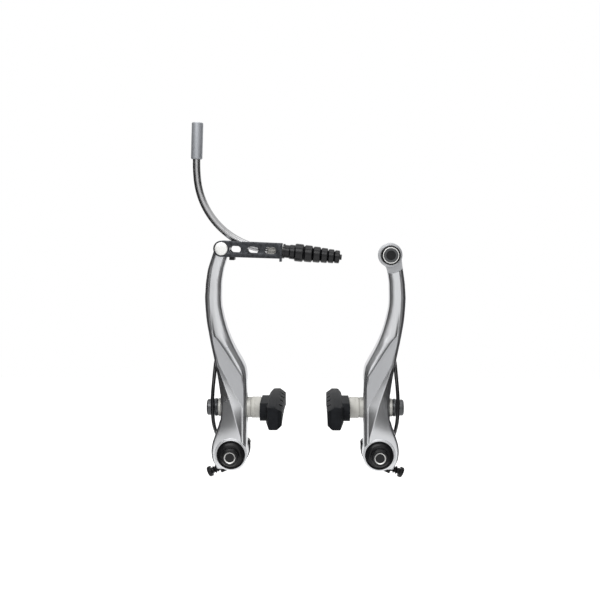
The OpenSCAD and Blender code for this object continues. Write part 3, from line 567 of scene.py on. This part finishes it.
bevelRows = [(-0.075, 0.6), (0.06, 0.7), (0.12, 1.2), (0.34, 1.3), (0.45, 1.1), (0.54, 1.1), (0.64, 1.4),
             (0.75, 1.6), (0.9, 1.4), (1.03, 1)]
# depths by height, with p the panel's front, h the hub's front and b the back
p, h, b = brake["panel"], brake["hub"], brake["back"]
depthRows = [
    (-0.075, b, h - 2.4, h - 0.5, h - 0.4, h - 0.4, h - 0.4, h - 0.8, h - 2.6),
    (0.02, b, h - 1.3, h - 0.1, h - 0.1, h - 0.1, h - 0.1, h - 0.5, h - 2.4),
    (0.06, b, h - 1.5, h, h - 0.3, h - 0.4, h - 0.5, h - 1, h - 2.8),
    (0.1, b, h - 2.6, h - 0.1, h - 0.9, h - 1.1, h - 1.3, h - 2, p - 1.2),
    (0.14, b, p - 0.9, h - 0.3, p + 1, p + 0.8, p + 0.7, p + 0.3, p - 1.2),
    (0.2, b, p - 1.4, p + 2, p + 0.2, p - 0.05, p - 0.1, p - 0.35, p - 1.5),
    (0.25, b, p - 1.5, p + 1.7, p, p - 0.1, p - 0.12, p - 0.3, p - 1.4),
    (0.33, b, p - 1.5, p + 1.3, p, p - 0.05, p, p - 0.2, p - 1.4),
    (0.4, b, p - 1.4, p + 1, p, p + 0.6, p + 0.8, p + 0.2, p - 1.4),
    (0.48, b + 0.4, p - 1.2, p + 0.4, p, p + 1, p + 1.4, p + 0.4, p - 1.2),
    (0.56, b + 1.1, p - 0.8, p + 0.1, p, p + 1, p + 1.4, p + 0.2, p - 1.2),
    (0.64, b + 1.8, p - 0.6, p - 0.1, p + 0.1, p + 0.4, p + 0.7, p, p - 1.4),
    (0.744, b + 2.2, p - 0.6, p - 0.1, p + 0.1, p + 0.2, p + 0.35, p - 0.15, p - 1.5),
    (0.865, b + 2.5, p - 0.9, p - 0.4, p - 0.2, p - 0.1, p, p - 0.5, p - 1.8),
    (0.93, b + 2.8, p - 1.2, p - 0.7, p - 0.5, p - 0.4, p - 0.35, p - 0.8, p - 1.9),
    (1.03, b + 3.1, p - 2.1, p - 0.7, p - 0.4, p - 0.3, p - 0.3, p - 0.7, p - 1.6)]


def lookUp(s, rows):
    if s <= rows[0][0]:
        return rows[0][1]
    for a, c in zip(rows, rows[1:]):
        if s <= c[0]:
            return a[1] + (c[1] - a[1]) * (s - a[0]) / (c[0] - a[0])
    return rows[-1][1]


def eased(s, rows):
    # a table's value, eased over the neighbouring heights
    weights = [(k, math.exp(-(k / 3.2) ** 2)) for k in range(-6, 7)]
    total = sum(w for _, w in weights)
    return sum(w * lookUp(s + k * 0.0045, rows) for k, w in weights) / total


def armRing(s, head):
    end = head[1] / brake["anchorRise"]
    depth = [eased(s, [(row[0], row[k]) for row in depthRows]) for k in range(1, 9)]
    xo = eased(s, outerEdge + [(end, head[0] + head[2])])
    xi = eased(s, innerEdge + [(end, head[0] - head[2])])
    bevel = eased(s, bevelRows)
    corner = arm["corner"]
    xs = xi + 1.5
    xr = max(min(eased(s, ridgeLine), xo - bevel - 0.5), xs + 1.4)
    xp = max(min(eased(s, panelLine), xr - 0.5), xs + 1)
    xc = max(min(eased(s, creaseLine), xp - 0.4), xs + 1)
    xq = xc - 0.9
    edge = depth[1] + 0.3 + 0.2 * (depth[2] - depth[1])
    rise = arm["bevelRise"] * bevel
    flat = [(xo - corner, depth[0]), (xo, depth[0] + corner), (xo, edge - rise),
            (xo - 0.3 * bevel, edge - 0.5 * rise), (xo - bevel, edge), (xr, depth[2]), (xp, depth[3]),
            (xc, depth[3] + 0.05), (xq, depth[4]), ((xq + xs) / 2, depth[5]), (xs, depth[6]),
            (xi + 0.5, depth[6] - 0.6), (xi, depth[7]), (xi, depth[0] + corner), (xi + corner, depth[0])]
    reach = [0.5, 0.5, 0.7, 0.5, 0.6, 0.3, 0.3, 0.12, 0.2, 1.2, 0.5, 0.4, 0.6, 0.5, 0.5]
    ring = []
    for i, q in enumerate(flat):
        q = Vector(q)
        a, c = Vector(flat[i - 1]) - q, Vector(flat[(i + 1) % len(flat)]) - q
        start = q + a.normalized() * min(reach[i], a.length * 0.45)
        stop = q + c.normalized() * min(reach[i], c.length * 0.45)
        ring += [start * (1 - t) ** 2 + q * 2 * t * (1 - t) + stop * t * t for t in (0, 0.33, 0.67, 1)]
    return [Vector((brake["bossHalf"] + v[0], -v[1], s * brake["anchorRise"])) * mm for v in ring]


def armLoft(name, head):
    last = head[1] / brake["anchorRise"]
    span = last - arm["from"]
    rings = [armRing(arm["from"] + span * i / arm["rings"], head) for i in range(arm["rings"] + 1)]
    size = len(rings[0])
    faces = [(i * size + j, i * size + (j + 1) % size, (i + 1) * size + (j + 1) % size, (i + 1) * size + j)
             for i in range(arm["rings"]) for j in range(size)]
    faces += [tuple(range(size))[::-1], tuple(range(arm["rings"] * size, (arm["rings"] + 1) * size))]
    mesh = bpy.data.meshes.new(name)
    mesh.from_pydata([v for ring in rings for v in ring], [], faces)
    bm = bmesh.new()
    bm.from_mesh(mesh)
    bmesh.ops.recalc_face_normals(bm, faces=bm.faces)
    bm.to_mesh(mesh)
    bm.free()
    return newObject(name, mesh)


def pivotBar(name, outline, x=0.0, z=0.0, rounding=0.12, count=72):
    # a turned piece along the depth, in the right arm's frame
    return revolved(name, outline, ((brake["bossHalf"] + x) * mm, 0, z * mm), (0, -1, 0), count, rounding)


def acrossBar(name, r, x0, x1, z, count=48, rounding=0.0):
    place = (brake["bossHalf"] * mm, -brake["studDepth"] * mm, z * mm)
    return revolved(name, rod(x0, x1, r), place, (1, 0, 0), count, rounding)


def shoeSlot(name, r, x0, x1):
    # slot-shaped cutter for the shoe bolt
    travel, rise = brake["shoeTravel"], brake["shoeRise"]
    slab = box(name, (brake["bossHalf"] + x0, -brake["studDepth"] - r, rise - travel),
               (brake["bossHalf"] + x1, -brake["studDepth"] + r, rise + travel))
    return combine(slab, [acrossBar(name + "Low", r, x0, x1, rise - travel),
                          acrossBar(name + "High", r, x0, x1, rise + travel)], "UNION")


def makeArm(side):
    left = side == "left"
    head = (brake["linkOut"], brake["linkRise"], arm["headR"] - 0.15) if left else \
        (brake["anchorOut"], brake["anchorRise"], arm["bossR"] - 0.15)
    depth, front, back = brake["cableDepth"], brake["hub"], brake["back"]
    half, far = arm["headHalf"], arm["cutEnd"]
    piece = armLoft(side + "ArmForging", head)
    hub = pivotBar("hub", rod(back, front, hubR), rounding=0.35)
    rim = pivotBar("rim", rod(front - 1, front + 0.6, arm["rimR"]), rounding=0.28, count=96)
    if left:
        outline = rod(depth - half, depth + half, arm["headR"])
    else:
        outline = rod(back + 2.4, depth + 1, arm["bossR"])
    top = pivotBar("top", outline, head[0], head[1], 0.3)
    combine(piece, [hub, rim, top], "UNION")
    bore = brake["sleeveR"] + 0.05
    disc = brake["sleeveFront"] - 1.4
    cutters = [
        pivotBar("bore", [(0, 0), (0, bore + 1.2), (back - 0.2, bore + 1.2), (back + 0.4, bore), (far, bore),
                          (far, 0)], rounding=0),
        pivotBar("seat", [(disc, 0), (disc, arm["discR"]), (front + 0.35, arm["discR"]),
                          (front + 0.7, arm["discR"] + 0.3), (far, arm["discR"] + 0.3), (far, 0)],
                 rounding=0, count=96),
        shoeSlot("slot", arm["slotR"], -20, 20), shoeSlot("nutSeat", arm["nutSeatR"], outF, 20),
        box("legRoom", (brake["bossHalf"] + 7.05, -15.2, -hubR - 3), (brake["bossHalf"] + 17.05, -6.9, 14)),
        box("legPocket", (brake["bossHalf"] + outF + 0.3, -16.2, 0.4 * brake["anchorRise"]),
            (brake["bossHalf"] + outF + 10.3, 0, 0.545 * brake["anchorRise"])),
        acrossBar("legHole", arm["legHoleR"], outF - 1.6, outF + 8.4, 0.515 * brake["anchorRise"])]
    if left:
        cutters += [pivotBar("pinHole", rod(0, far, arm["pinHoleR"]), head[0], head[1], 0)]
        cutters += [pivotBar("cheek", rod(a, c, arm["cheekR"]), head[0], head[1], 0)
                    for a, c in ((0, depth - half), (depth + half, far))]
    else:
        cutters += [pivotBar("spot", rod(depth + 1, far, arm["spotR"]), head[0], head[1], 0, 96),
                    pivotBar("boltHole", rod(0, far, arm["boltHoleR"]), head[0], head[1], 0)]
    combine(piece, cutters, "DIFFERENCE")
    piece = dress(mirrored(piece, sides[side]), side + "_arm", angle=24)

    def onPanel(c, n):
        s, x = c.z / brake["anchorRise"], abs(c.x) - brake["bossHalf"]
        return n.y < -0.6 and 0.2 < s < 0.62 and lookUp(s, creaseLine) < x < lookUp(s, panelLine)

    def onSpotFace(c, n):
        return n.y < -0.9 and not left and c.z > 94 and -c.y < depth + 1.5

    # the forward-facing faces of the recessed panel and of the right arm's spot face are painted in the
    # darker aluminium as painted shade
    tint(piece, "shaded_aluminium", lambda c, n: onPanel(c, n) or onSpotFace(c, n))
    return piece


for side in sides:
    makeArm(side)
print("arms made")


# return springs
spring = {"wireR": 1.0, "coilR": 7.0, "turns": 1.15, "coilBack": 3.3, "pitch": 2.1}


def springPoints():
    turns, r = spring["turns"], spring["coilR"]
    count = int(24 * turns)
    points = []
    for i in range(count + 1):
        a = -2 * math.pi * turns * (1 - i / count)
        depth = spring["coilBack"] + spring["pitch"] * turns * i / count
        points.append((r * math.cos(a), -depth, r * math.sin(a)))
    front = spring["coilBack"] + spring["pitch"] * turns
    top = 0.515 * brake["anchorRise"]
    leg = [(r + 0.3, front + 0.05, 2.2), (r + 0.9, front + 0.3, 4.4), (r + 1.6, front + 2.4, 7.4),
           (r + 2.1, 13.1, 11.6), (r + 2.5, 17.9, 16.6), (r + 2.8, 19.8, 22.6), (r + 2.9, 19.7, 29),
           (r + 2.6, 18.2, 36), (r + 2.1, 15.7, 43), (r + 1.6, 13.6, 49), (r + 1, 12.6, 52.6),
           (r, 12.3, top - 0.5), (r - 1.6, brake["studDepth"], top), (outF - 1.4, brake["studDepth"], top)]
    points += [(x, -d, z) for x, d, z in leg]
    return [(brake["bossHalf"] + x, y, z) for x, y, z in points]


for side, sign in sides.items():
    wire = mirrored(sweep(side + "SpringWire", springPoints(), spring["wireR"], "spring_wire", 16, 4), sign)
    dress(wire, side + "_return_spring", ride="blend", angle=50)
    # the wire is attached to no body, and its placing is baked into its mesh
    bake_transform(wire)
print("return springs made")


# pivots
pivot = {"flangeT": 1.2, "flangeR": 6.7, "headR": 4.6, "headH": 5.8, "reach": 17.5, "ringT": 1.3,
         "ringR": 7.5, "bossLen": 16, "bore": 4.05, "footR": 6.6, "socketDepth": 3.4, "sinkR": 3.45}


def socketCutters(place, along, depth, radius, flare=0.45):
    # a countersink and a drill's tip; the hexagon's place is in mm, but prism takes metres, so it
    # lies far off and cuts nothing
    forward = Vector(along)
    floor = Vector(place) / mm - forward * depth
    wide = radius + flare
    cone = revolved("cone", [(-0.55, 0), (-0.55, radius * 0.86), (0.3, wide), (1, wide), (1, 0)],
                    place, along, 48, 0)
    dimple = revolved("dimple", [(-0.7, 0), (0.05, radius * 0.8), (0.05, 0)],
                      Vector(place) - forward * depth * mm, along, 48, 0)
    return [prism("hexagon", floor, along, radius, depth + 2, 6, math.pi / 6), cone, dimple]


def makeFixingBolt(side, x):
    front, r = brake["sleeveFront"], brake["boltR"]
    head = front + pivot["flangeT"]
    top = head + pivot["headH"]
    shoulder = pivot["bossLen"] + 0.6
    tip = front - pivot["reach"]
    bolt = revolved(side + "FixingBoltBody", [
        (tip + 6, 0), (tip + 6, r - 0.35), (shoulder, r - 0.35), (shoulder, r + 0.25), (front, r + 0.25),
        (front, pivot["flangeR"]), (front + 0.55, pivot["flangeR"]), (head, pivot["headR"] + 0.9),
        (head + 0.15, pivot["headR"]), (top - 0.5, pivot["headR"]), (top, pivot["headR"] - 0.6), (top, 0)],
        (x, 0, 0), (0, -1, 0), 96, 0.25)
    socket = socketCutters((x, -top * mm, 0), (0, -1, 0), pivot["socketDepth"], brake["socketR"])
    combine(bolt, socket, "DIFFERENCE")
    screw = thread("thread", (x / mm, -tip, 0), (0, -1, 0), r, shoulder - front + pivot["reach"], 1.0, 0.5,
                   "black_steel")
    bolt = dress(joined(bolt, [screw]), side + "_fixing_bolt", angle=30)

    def inSocket(c, start, end):
        return math.hypot(c.x - x / mm, c.z) < pivot["sinkR"] and start - top < c.y < end - top

    # inside the socket a band at its floor is painted light grey as painted light at the socket's bottom,
    # and a ring at its mouth is painted near white as a painted highlight
    tint(bolt, "worn_steel", lambda c, n: inSocket(c, 3.2, 4.2))
    tint(bolt, "highlight_steel", lambda c, n: inSocket(c, 0.04, 0.5))


def makeDustRing(side, x):
    front, r = brake["sleeveFront"], pivot["ringR"]
    back, inner = front - pivot["ringT"], brake["sleeveR"] + 0.05
    ring = revolved(side + "DustRingShape", [
        (back, inner), (back, r), (front - 0.35, r), (front - 0.02, r - 0.35), (front - 0.02, 6.95),
        (front - 0.3, 6.85), (front - 0.3, inner)], (x, 0, 0), (0, -1, 0), 96, 0.1)
    dress(ring, side + "_dust_ring")


def makeSleeve(side, x):
    r, front, bore = brake["sleeveR"], brake["sleeveFront"] - 0.02, pivot["bore"]
    foot, screwR, end = pivot["footR"], brake["boltR"] + 0.35, pivot["bossLen"] + 0.8
    sleeve = revolved(side + "PivotSleeveShape", [
        (0, bore + 0.3), (0, foot), (1, foot), (1, r), (front, r), (front, screwR), (end, screwR),
        (end, bore), (0.3, bore)], (x, 0, 0), (0, -1, 0), 96, 0.15)
    dress(sleeve, side + "_pivot_sleeve")


# tension screws
tension = {"slope": 24, "x": 6.2, "z": -10.6, "depth": 4, "headR": 2.95, "from": 1.9, "to": 6.6,
           "headT": 2.3, "threadR": 2.4, "pitch": 1.5, "coreR": 1.5, "threadDepth": 0.9,
           "slot": (2, 4.4, 0.8), "slotSink": 0.45}


def makeTensionScrew(side, sign):
    a = math.radians(tension["slope"])
    along = Vector((sign * math.cos(a), 0, -math.sin(a)))
    place = Vector((sign * (brake["bossHalf"] + tension["x"]), -tension["depth"], tension["z"]))
    r, end = tension["headR"], tension["to"] + tension["headT"]
    screw = revolved(side + "TensionScrewBody", [
        (-3.4, 0), (-3.4, 1.2), (-3.1, tension["coreR"]), (tension["to"], tension["coreR"]),
        (tension["to"], r - 0.1), (tension["to"] + 0.2, r),
        (end - 0.5, r), (end, r - 0.55), (end, 0)], place * mm, along, 64, 0.2)
    deep, long, wide = tension["slot"]
    middle = place + along * (end - tension["slotSink"])
    slots = []
    for direction in (Vector((0, 1, 0)), along.cross(Vector((0, 1, 0)))):
        other = along.cross(direction)
        bm = bmesh.new()
        bmesh.ops.create_cube(bm, size=1)
        for v in bm.verts:
            c = v.co.copy()
            v.co = (middle + along * (c.x * deep) + direction * (c.y * long) + other * (c.z * wide)) * mm
        slots.append(solidFrom("cross", bm))
    combine(screw, slots, "DIFFERENCE")
    winding = thread("winding", place + along * tension["from"], along, tension["threadR"],
                     tension["to"] - tension["from"] + 0.05, tension["pitch"], tension["threadDepth"],
                     "black_steel")
    dress(joined(screw, [winding]), side + "_tension_screw", angle=30)


# brake shoes
shoe = {"nutR": 4.4, "nutReach": 13.5, "socketR": 3.6, "washerR": 4.9, "flatR": 4.6, "holeR": 3.1,
        "spacerR": 5.8, "innerR": 5.6, "outerBall": (8, 4.5), "innerBall": (9, 5.2)}


def makeShoe(side, sign):
    place = (sign * brake["bossHalf"] * mm, -brake["studDepth"] * mm, brake["shoeRise"] * mm)
    out = (sign, 0, 0)
    stack = outF + 3.6
    end = shoe["nutReach"]
    nut = revolved(side + "ShoeNutShape", [
        (stack + 0.82, 3.05), (stack + 0.82, 4.25), (stack + 1, shoe["nutR"]), (end - 0.55, shoe["nutR"]),
        (end, shoe["nutR"] - 0.5), (end, 3.05)], place, out, 72, 0.2)
    # this hexagon's place is in mm too, so it cuts nothing
    floor = Vector(place) / mm + Vector(out) * (end - 2.4)
    hexagon = prism("hexagon", floor, out, shoe["socketR"], 4, 6, 0)
    cone = revolved("cone", [(end - 0.35, 0), (end - 0.35, 3.2), (end + 0.4, 4.0), (end + 0.4, 0)],
                    place, out, 48, 0)
    combine(nut, [hexagon, cone], "DIFFERENCE")
    dress(nut, side + "_shoe_nut", "satin_steel", angle=30)
    r, hole = shoe["washerR"], shoe["holeR"]
    dome = [(outF + 1.52 - sag(*shoe["outerBall"], q), q) for q in (hole, 3.6, 4.1, 4.5)]
    dome += [(outF + 1.95, 4.6), (outF + 2.25, r), (outF + 3.1, r), (outF + 3.45, 4.75), (stack, 4.4),
             (stack, hole)]
    dress(revolved(side + "OuterDomeShape", dome, place, out, 72, 0.18), side + "_outer_dome_washer",
          "satin_steel")
    cup = [(outF + 0.03, 3.5), (outF + 0.03, 4.7), (outF + 0.2, r), (outF + 1.4, r), (outF + 1.5, 4.8)]
    cup += [(outF + 1.5 - sag(*shoe["outerBall"], q), q) for q in (4.5, 4.17, 3.83, 3.5)]
    dress(revolved(side + "OuterCupShape", cup, place, out, 72, 0.08), side + "_outer_cup_washer")
    flat = tube(stack, stack + 0.8, hole, shoe["flatR"])
    dress(revolved(side + "FlatWasherShape", flat, place, out, 72, 0.15), side + "_flat_washer",
          "satin_steel")
    back = -inF
    r = shoe["innerR"]
    inner = [(back, 3.6), (back, 5.4), (back - 0.2, r), (back - 2.0, r), (back - 2.1, 5.5)]
    inner += [(back - 2.1 + sag(*shoe["innerBall"], q), q) for q in (5.2, 4.67, 4.13, 3.6)]
    dress(revolved(side + "InnerCupShape", inner, place, out, 72, 0.08), side + "_inner_cup_washer")
    r = shoe["spacerR"]
    spacer = [(back - 2.12 + sag(*shoe["innerBall"], q), q) for q in (hole, 3.8, 4.5, 5.2)]
    spacer += [(back - 2.55, 5.5), (back - 2.85, r), (back - 4.3, r), (back - 4.4, 5.68), (back - 4.6, 5.68),
               (back - 4.7, r), (back - 7.5, r), (back - 7.8, 5.5), (back - 7.8, hole)]
    dress(revolved(side + "SpacerShape", spacer, place, out, 72, 0.08), side + "_spacer_washer")
    refined(side + "_brake_pad", side + "BrakePadShape", 0.45, 3)
    refined(side + "_shoe_stud", side + "ShoeStudShape", 0.15)
    refined(side + "_spring_housing", side + "SpringHousingShape", 0.3)


def sag(ball, rim, r):
    # how much further a ball's face bulges at radius r than at its rim
    return math.sqrt(ball * ball - r * r) - math.sqrt(ball * ball - rim * rim)


for side, sign in sides.items():
    x = sign * brake["bossHalf"] * mm
    makeFixingBolt(side, x)
    makeDustRing(side, x)
    makeSleeve(side, x)
    makeTensionScrew(side, sign)
    makeShoe(side, sign)
print("pivots, tension screws and shoes made")


# link and noodle
link = {"droop": 2.2, "length": 31.1, "width": 11.1, "noseDroop": 6, "noseLen": 6.5, "noseBack": 0.25,
        "pipeR": 2.05, "linerR": 1.4, "seatR": 2.07, "pinR": 2, "capR": 3.5, "ringR": 3.3, "boreR": 1.42,
        "bends": ((43, 22), (41.3, 56.3), (81, 7.7))}


def turnedFrame(matrix, shift=(0, 0, 0), droop=0.0):
    # moves along the frame's own axes, then turns down by droop degrees
    return matrix @ Matrix.Translation(Vector(shift)) @ Matrix.Rotation(math.radians(droop), 4, "Y")


pinFrame = turnedFrame(Matrix.Identity(4), (-brake["bossHalf"] - brake["linkOut"], -brake["cableDepth"],
                                            brake["linkRise"]), link["droop"])
noseFrame = turnedFrame(pinFrame, (link["length"], 0, 0), link["noseDroop"] - link["droop"])
back = -link["noseBack"] - link["noseLen"]
pipeStart = turnedFrame(noseFrame, (back, 0, 0)) @ Matrix.Rotation(math.pi, 4, "Z")


def pipeRoute(before, after):
    # points along the pipe's bends, straight for a length before and after; its end and direction
    points = [Vector((-before, 0, 0)), Vector((-before * 0.5, 0, 0)), Vector((0, 0, 0))]
    at, heading = Vector((0, 0, 0)), 0.0
    for r, degrees in link["bends"]:
        a = math.radians(degrees)
        middle = at + r * Vector((-math.sin(heading), 0, math.cos(heading)))
        count = max(2, round(degrees / 3))
        for k in range(1, count + 1):
            t = heading + a * k / count
            points.append(middle + r * Vector((math.sin(t), 0, -math.cos(t))))
        at, heading = points[-1], heading + a
    ahead = Vector((math.cos(heading), 0, math.sin(heading)))
    points += [at + ahead * after * 0.5, at + ahead * after]
    return [pipeStart @ q for q in points], pipeStart @ at, (pipeStart.to_3x3() @ ahead).normalized()


route, ferrulePlace, ferruleAlong = pipeRoute(4, 5)
pipe = sweep("bentPipe", route, link["pipeR"], "polished_steel", 32, 3)
dress(pipe, "noodle_pipe", angle=50)
liner = sweep("pipeLiner", pipeRoute(13.5, 5)[0], link["linerR"], "cream_plastic", 20, 3)
dress(liner, "noodle_liner", angle=50)
noseAlong = noseFrame.to_3x3() @ Vector((1, 0, 0))
nosePlace = noseFrame.translation * mm
seat, bore = link["seatR"], link["boreR"]
nose = revolved("pipeNose", [(back, seat), (back, 2.5), (back + 0.5, 3), (-0.25, 3), (-0.25, 2.2), (5, 2.2),
                             (5.4, 1.9), (5.4, bore), (back + 4, bore), (back + 4, seat)],
                nosePlace, noseAlong, 64, 0.15)
dress(nose, "noodle_nose")
ferrule = revolved("housingFerruleShape", [
    (0, seat), (0, 2.6), (0.45, 3.05), (18.9, 3.05), (19.3, 2.85), (19.3, 2.68), (19.1, 2.58), (7, 2.58),
    (7, link["linerR"]), (5, link["linerR"]), (5, seat)], ferrulePlace * mm, ferruleAlong, 64, 0.15)
dress(ferrule, "housing_ferrule")
refined("cable_link", "cableLinkShape", 0.16)
refined("link_stop", "linkStopShape", 0.25)
pinPlace, front = pinFrame.translation * mm, link["width"] / 2
pinR, capR = link["pinR"], link["capR"]
pin = revolved("linkPinShape", [
    (-front - 1.6, 0), (-front - 1.6, 1.7), (-front - 1.3, pinR), (front, pinR), (front, capR),
    (front + 0.5, capR), (front + 0.85, 3.2), (front + 1.03, 2.4), (front + 1.1, 1.2), (front + 1.1, 0)],
    pinPlace, (0, -1, 0), 72, 0.12)
# the link pin is painted near white, a painted highlight for the bright reflection on its cap
dress(pin, "link_pin", "highlight_steel")
ring = revolved("linkPinRingShape", tube(-front - 0.9, -front, 2.02, link["ringR"]),
                pinPlace, (0, -1, 0), 64, 0.2)
dress(ring, "link_pin_ring")


# bellows boot
boot = {"from": 1.5, "collar": 6.2, "ribs": 6, "firstStep": 5.4, "shrink": 0.218, "largeR": 4.8,
        "smallR": 3.5, "groove": 1.45, "tip": 1.0, "tipShare": 0.42, "steepness": 5.2, "neckR": 3.5,
        "lipLen": 1.2, "lipRise": 0.45, "swellFrom": 0.55, "swellLen": 0.6, "swellRise": 0.4}


def bootTree():
    # a tube whose radius rises and falls in ribs that grow narrower towards the tip
    tree, wires, ids = newTree("bellowsBoot", (
        ("Collar", "Float", 0.0062), ("Ribs", "Float", 6.0), ("First step", "Float", 0.0054),
        ("Shrink", "Float", 0.0002), ("Large radius", "Float", 0.0048), ("Small radius", "Float", 0.0035),
        ("Groove", "Float", 0.0015), ("Rows", "Int", 400), ("Finish", "Material", None)))
    curve = makeNode(tree, "GeometryNodeMeshToCurve", Mesh=wires["Geometry"])
    curve = makeNode(tree, "GeometryNodeResampleCurve", Curve=curve, Count=wires["Rows"])
    along = makeNode(tree, "GeometryNodeSplineParameter", out=1)
    past = (along - wires["Collar"]).math("MAXIMUM", 0.0)
    root = (wires["First step"] * wires["First step"] - past * wires["Shrink"] * 4).math("MAXIMUM", 0.0)
    place = (wires["First step"] - root.math("SQRT")) / (wires["Shrink"] * 2)
    number = place.math("FLOOR").math("MINIMUM", wires["Ribs"] - 1)
    share = (place - number).math("MINIMUM", 1.0)
    edge = share.math("MINIMUM", 1 - share) * boot["steepness"]
    bulge = (edge.clamp(0, 1) * (2 - edge.clamp(0, 1))).math("SQRT")
    taper = wires["Small radius"] - wires["Large radius"]
    big = wires["Large radius"] + taper * number / (wires["Ribs"] - 1)
    rib = big - wires["Groove"] * (1 - bulge)
    tip = (place - wires["Ribs"]).math("GREATER_THAN", 0.0)
    rib = rib * (1 - tip) + tip * (wires["Small radius"] * boot["tipShare"])
    lip = (boot["lipLen"] * mm - along).math("GREATER_THAN", 0.0)
    swell = ((along - wires["Collar"] * boot["swellFrom"]) * (1 / (boot["swellLen"] * mm))).clamp(0, 1)
    collar = boot["neckR"] * mm + lip * (boot["lipRise"] * mm) + swell * (boot["swellRise"] * mm)
    isCollar = (wires["Collar"] - along).math("GREATER_THAN", 0.0)
    radius = rib * (1 - isCollar) + collar * isCollar
    curve = makeNode(tree, "GeometryNodeSetCurveRadius", Curve=curve, Radius=radius * (1 / mm))
    profile = makeNode(tree, "GeometryNodeCurvePrimitiveCircle", Resolution=48, Radius=mm)
    tube = makeNode(tree, "GeometryNodeCurveToMesh", Curve=curve, Profile_Curve=profile, Fill_Caps=True,
                    Scale=makeNode(tree, "GeometryNodeInputRadius"))
    endTree(tree, tube, wires["Finish"])
    return tree, ids


bootGroup, bootIds = bootTree()
length = boot["collar"] + boot["firstStep"] * boot["ribs"] - boot["shrink"] * boot["ribs"] ** 2 + boot["tip"]
bellows = grown(polyline("bellowsBoot", [(0, 0, 0), (length, 0, 0)]), bootGroup, bootIds, {
    "Collar": boot["collar"] * mm, "Ribs": float(boot["ribs"]), "First step": boot["firstStep"] * mm,
    "Shrink": boot["shrink"] * mm, "Large radius": boot["largeR"] * mm, "Small radius": boot["smallR"] * mm,
    "Groove": boot["groove"] * mm, "Rows": 420, "Finish": materials["boot_rubber"]})
turn = noseFrame.to_3x3().to_4x4()
shift = Matrix.Translation((boot["from"] * mm, 0, 0))
bellows.data.transform(Matrix.Translation(nosePlace) @ turn @ shift)
dress(bellows, "noodle_boot", angle=50)
print("link, noodle and boot made")


# cable anchor
anchor = {"headR": 5.2, "headH": 5.4, "plateT": 1.6, "coreR": 2.5, "ringR": 4.15, "faceR": 3.9,
          "socketDepth": 3.2}
anchorPlace = ((brake["bossHalf"] + brake["anchorOut"]) * mm, 0, brake["anchorRise"] * mm)
face = brake["cableDepth"] + 1
under = face + anchor["plateT"]
top = under + anchor["headH"]
tip = brake["back"] + 1.6
r, core = anchor["headR"], anchor["coreR"]
bolt = revolved("anchorBoltBody", [
    (tip + 2, 0), (tip + 2, core), (under, core), (under, r), (top - 0.75, r), (top - 0.2, r - 0.55),
    (top, anchor["ringR"]), (top, anchor["faceR"]), (top - 0.05, 0)], anchorPlace, (0, -1, 0), 96, 0.2)
socket = socketCutters((anchorPlace[0], -top * mm, anchorPlace[2]), (0, -1, 0), anchor["socketDepth"],
                       brake["socketR"], -0.3)
combine(bolt, socket, "DIFFERENCE")
screw = thread("thread", (anchorPlace[0] / mm, -tip, anchorPlace[2] / mm), (0, -1, 0), brake["boltR"],
               under - tip, 1.0, 0.5, "black_steel")
bolt = dress(joined(bolt, [screw]), "anchor_bolt", angle=30)


def offAnchor(c):
    return math.hypot(c.x - anchorPlace[0] / mm, c.z - brake["anchorRise"])


# a ring at the head's rim is painted near white as a painted highlight
tint(bolt, "highlight_steel", lambda c, n: c.y < -(top - 0.4) and 3.85 < offAnchor(c) < 4.25)
tint(bolt, "satin_steel", lambda c, n: c.y < -(top - 0.12) and offAnchor(c) < 3.85)
# the anchor plate is painted in the darker aluminium as painted shade
refined("anchor_plate", "anchorPlateShape", 0.25, finish="shaded_aluminium")
print("cable anchor made")


# floor, cards and sky
def whiteForEye(tree):
    # full for what the eye sees straight, mirrored or through something clear
    seen = makeNode(tree, "ShaderNodeLightPath").socket.node.outputs
    straight, glossy, glass = (Wire(tree, seen[n]) for n in
                               ("Is Camera Ray", "Is Glossy Ray", "Is Transmission Ray"))
    return (straight + glossy + glass).clamp()


def addFloor():
    half = studio["floorSize"] / 2
    mesh = bpy.data.meshes.new("floor")
    z = studio["floorHeight"]
    corners = [(-half, -half, z), (half, -half, z), (half, half, z), (-half, half, z)]
    mesh.from_pydata(corners, [], [(0, 1, 2, 3)])
    floor = newObject("floor", mesh)
    material, tree = newMaterial("paleFloor")
    matte = makeNode(tree, "ShaderNodeBsdfDiffuse", Color=studio["floorColour"] + (1,))
    glow = makeNode(tree, "ShaderNodeEmission", Color=(1, 1, 1, 1),
                    Strength=whiteForEye(tree) * studio["floorGlow"])
    both = makeNode(tree, "ShaderNodeAddShader", i0=matte, i1=glow)
    makeNode(tree, "ShaderNodeOutputMaterial", Surface=both)
    mesh.materials.append(material)


def addCards():
    for name, place, width, height, turn, grey in studio["cards"]:
        material, tree = newMaterial(name)
        matte = makeNode(tree, "ShaderNodeBsdfDiffuse", Color=(grey, grey, grey, 1))
        makeNode(tree, "ShaderNodeOutputMaterial", Surface=matte)
        mesh = bpy.data.meshes.new(name)
        c, s = math.cos(math.radians(turn)) * width / 2, math.sin(math.radians(turn)) * width / 2
        corners = [(place[0] + u * c, place[1] + u * s, place[2] + v * height / 2)
                   for u, v in ((-1, -1), (1, -1), (1, 1), (-1, 1))]
        mesh.from_pydata(corners, [], [(0, 1, 2, 3)])
        mesh.materials.append(material)
        card = newObject(name, mesh)
        card.visible_camera = False
        card.visible_shadow = False


def paintSky():
    world = bpy.data.worlds.new("studio")
    scene.world = world
    world.use_nodes = True
    tree = world.node_tree
    tree.nodes.clear()
    strength = whiteForEye(tree) * (1 - studio["skyLevel"]) + studio["skyLevel"]
    sky = makeNode(tree, "ShaderNodeBackground", Color=(1, 1, 1, 1), Strength=strength)
    makeNode(tree, "ShaderNodeOutputWorld", Surface=sky)


addFloor()
addCards()
paintSky()
print("floor, cards and sky ready")
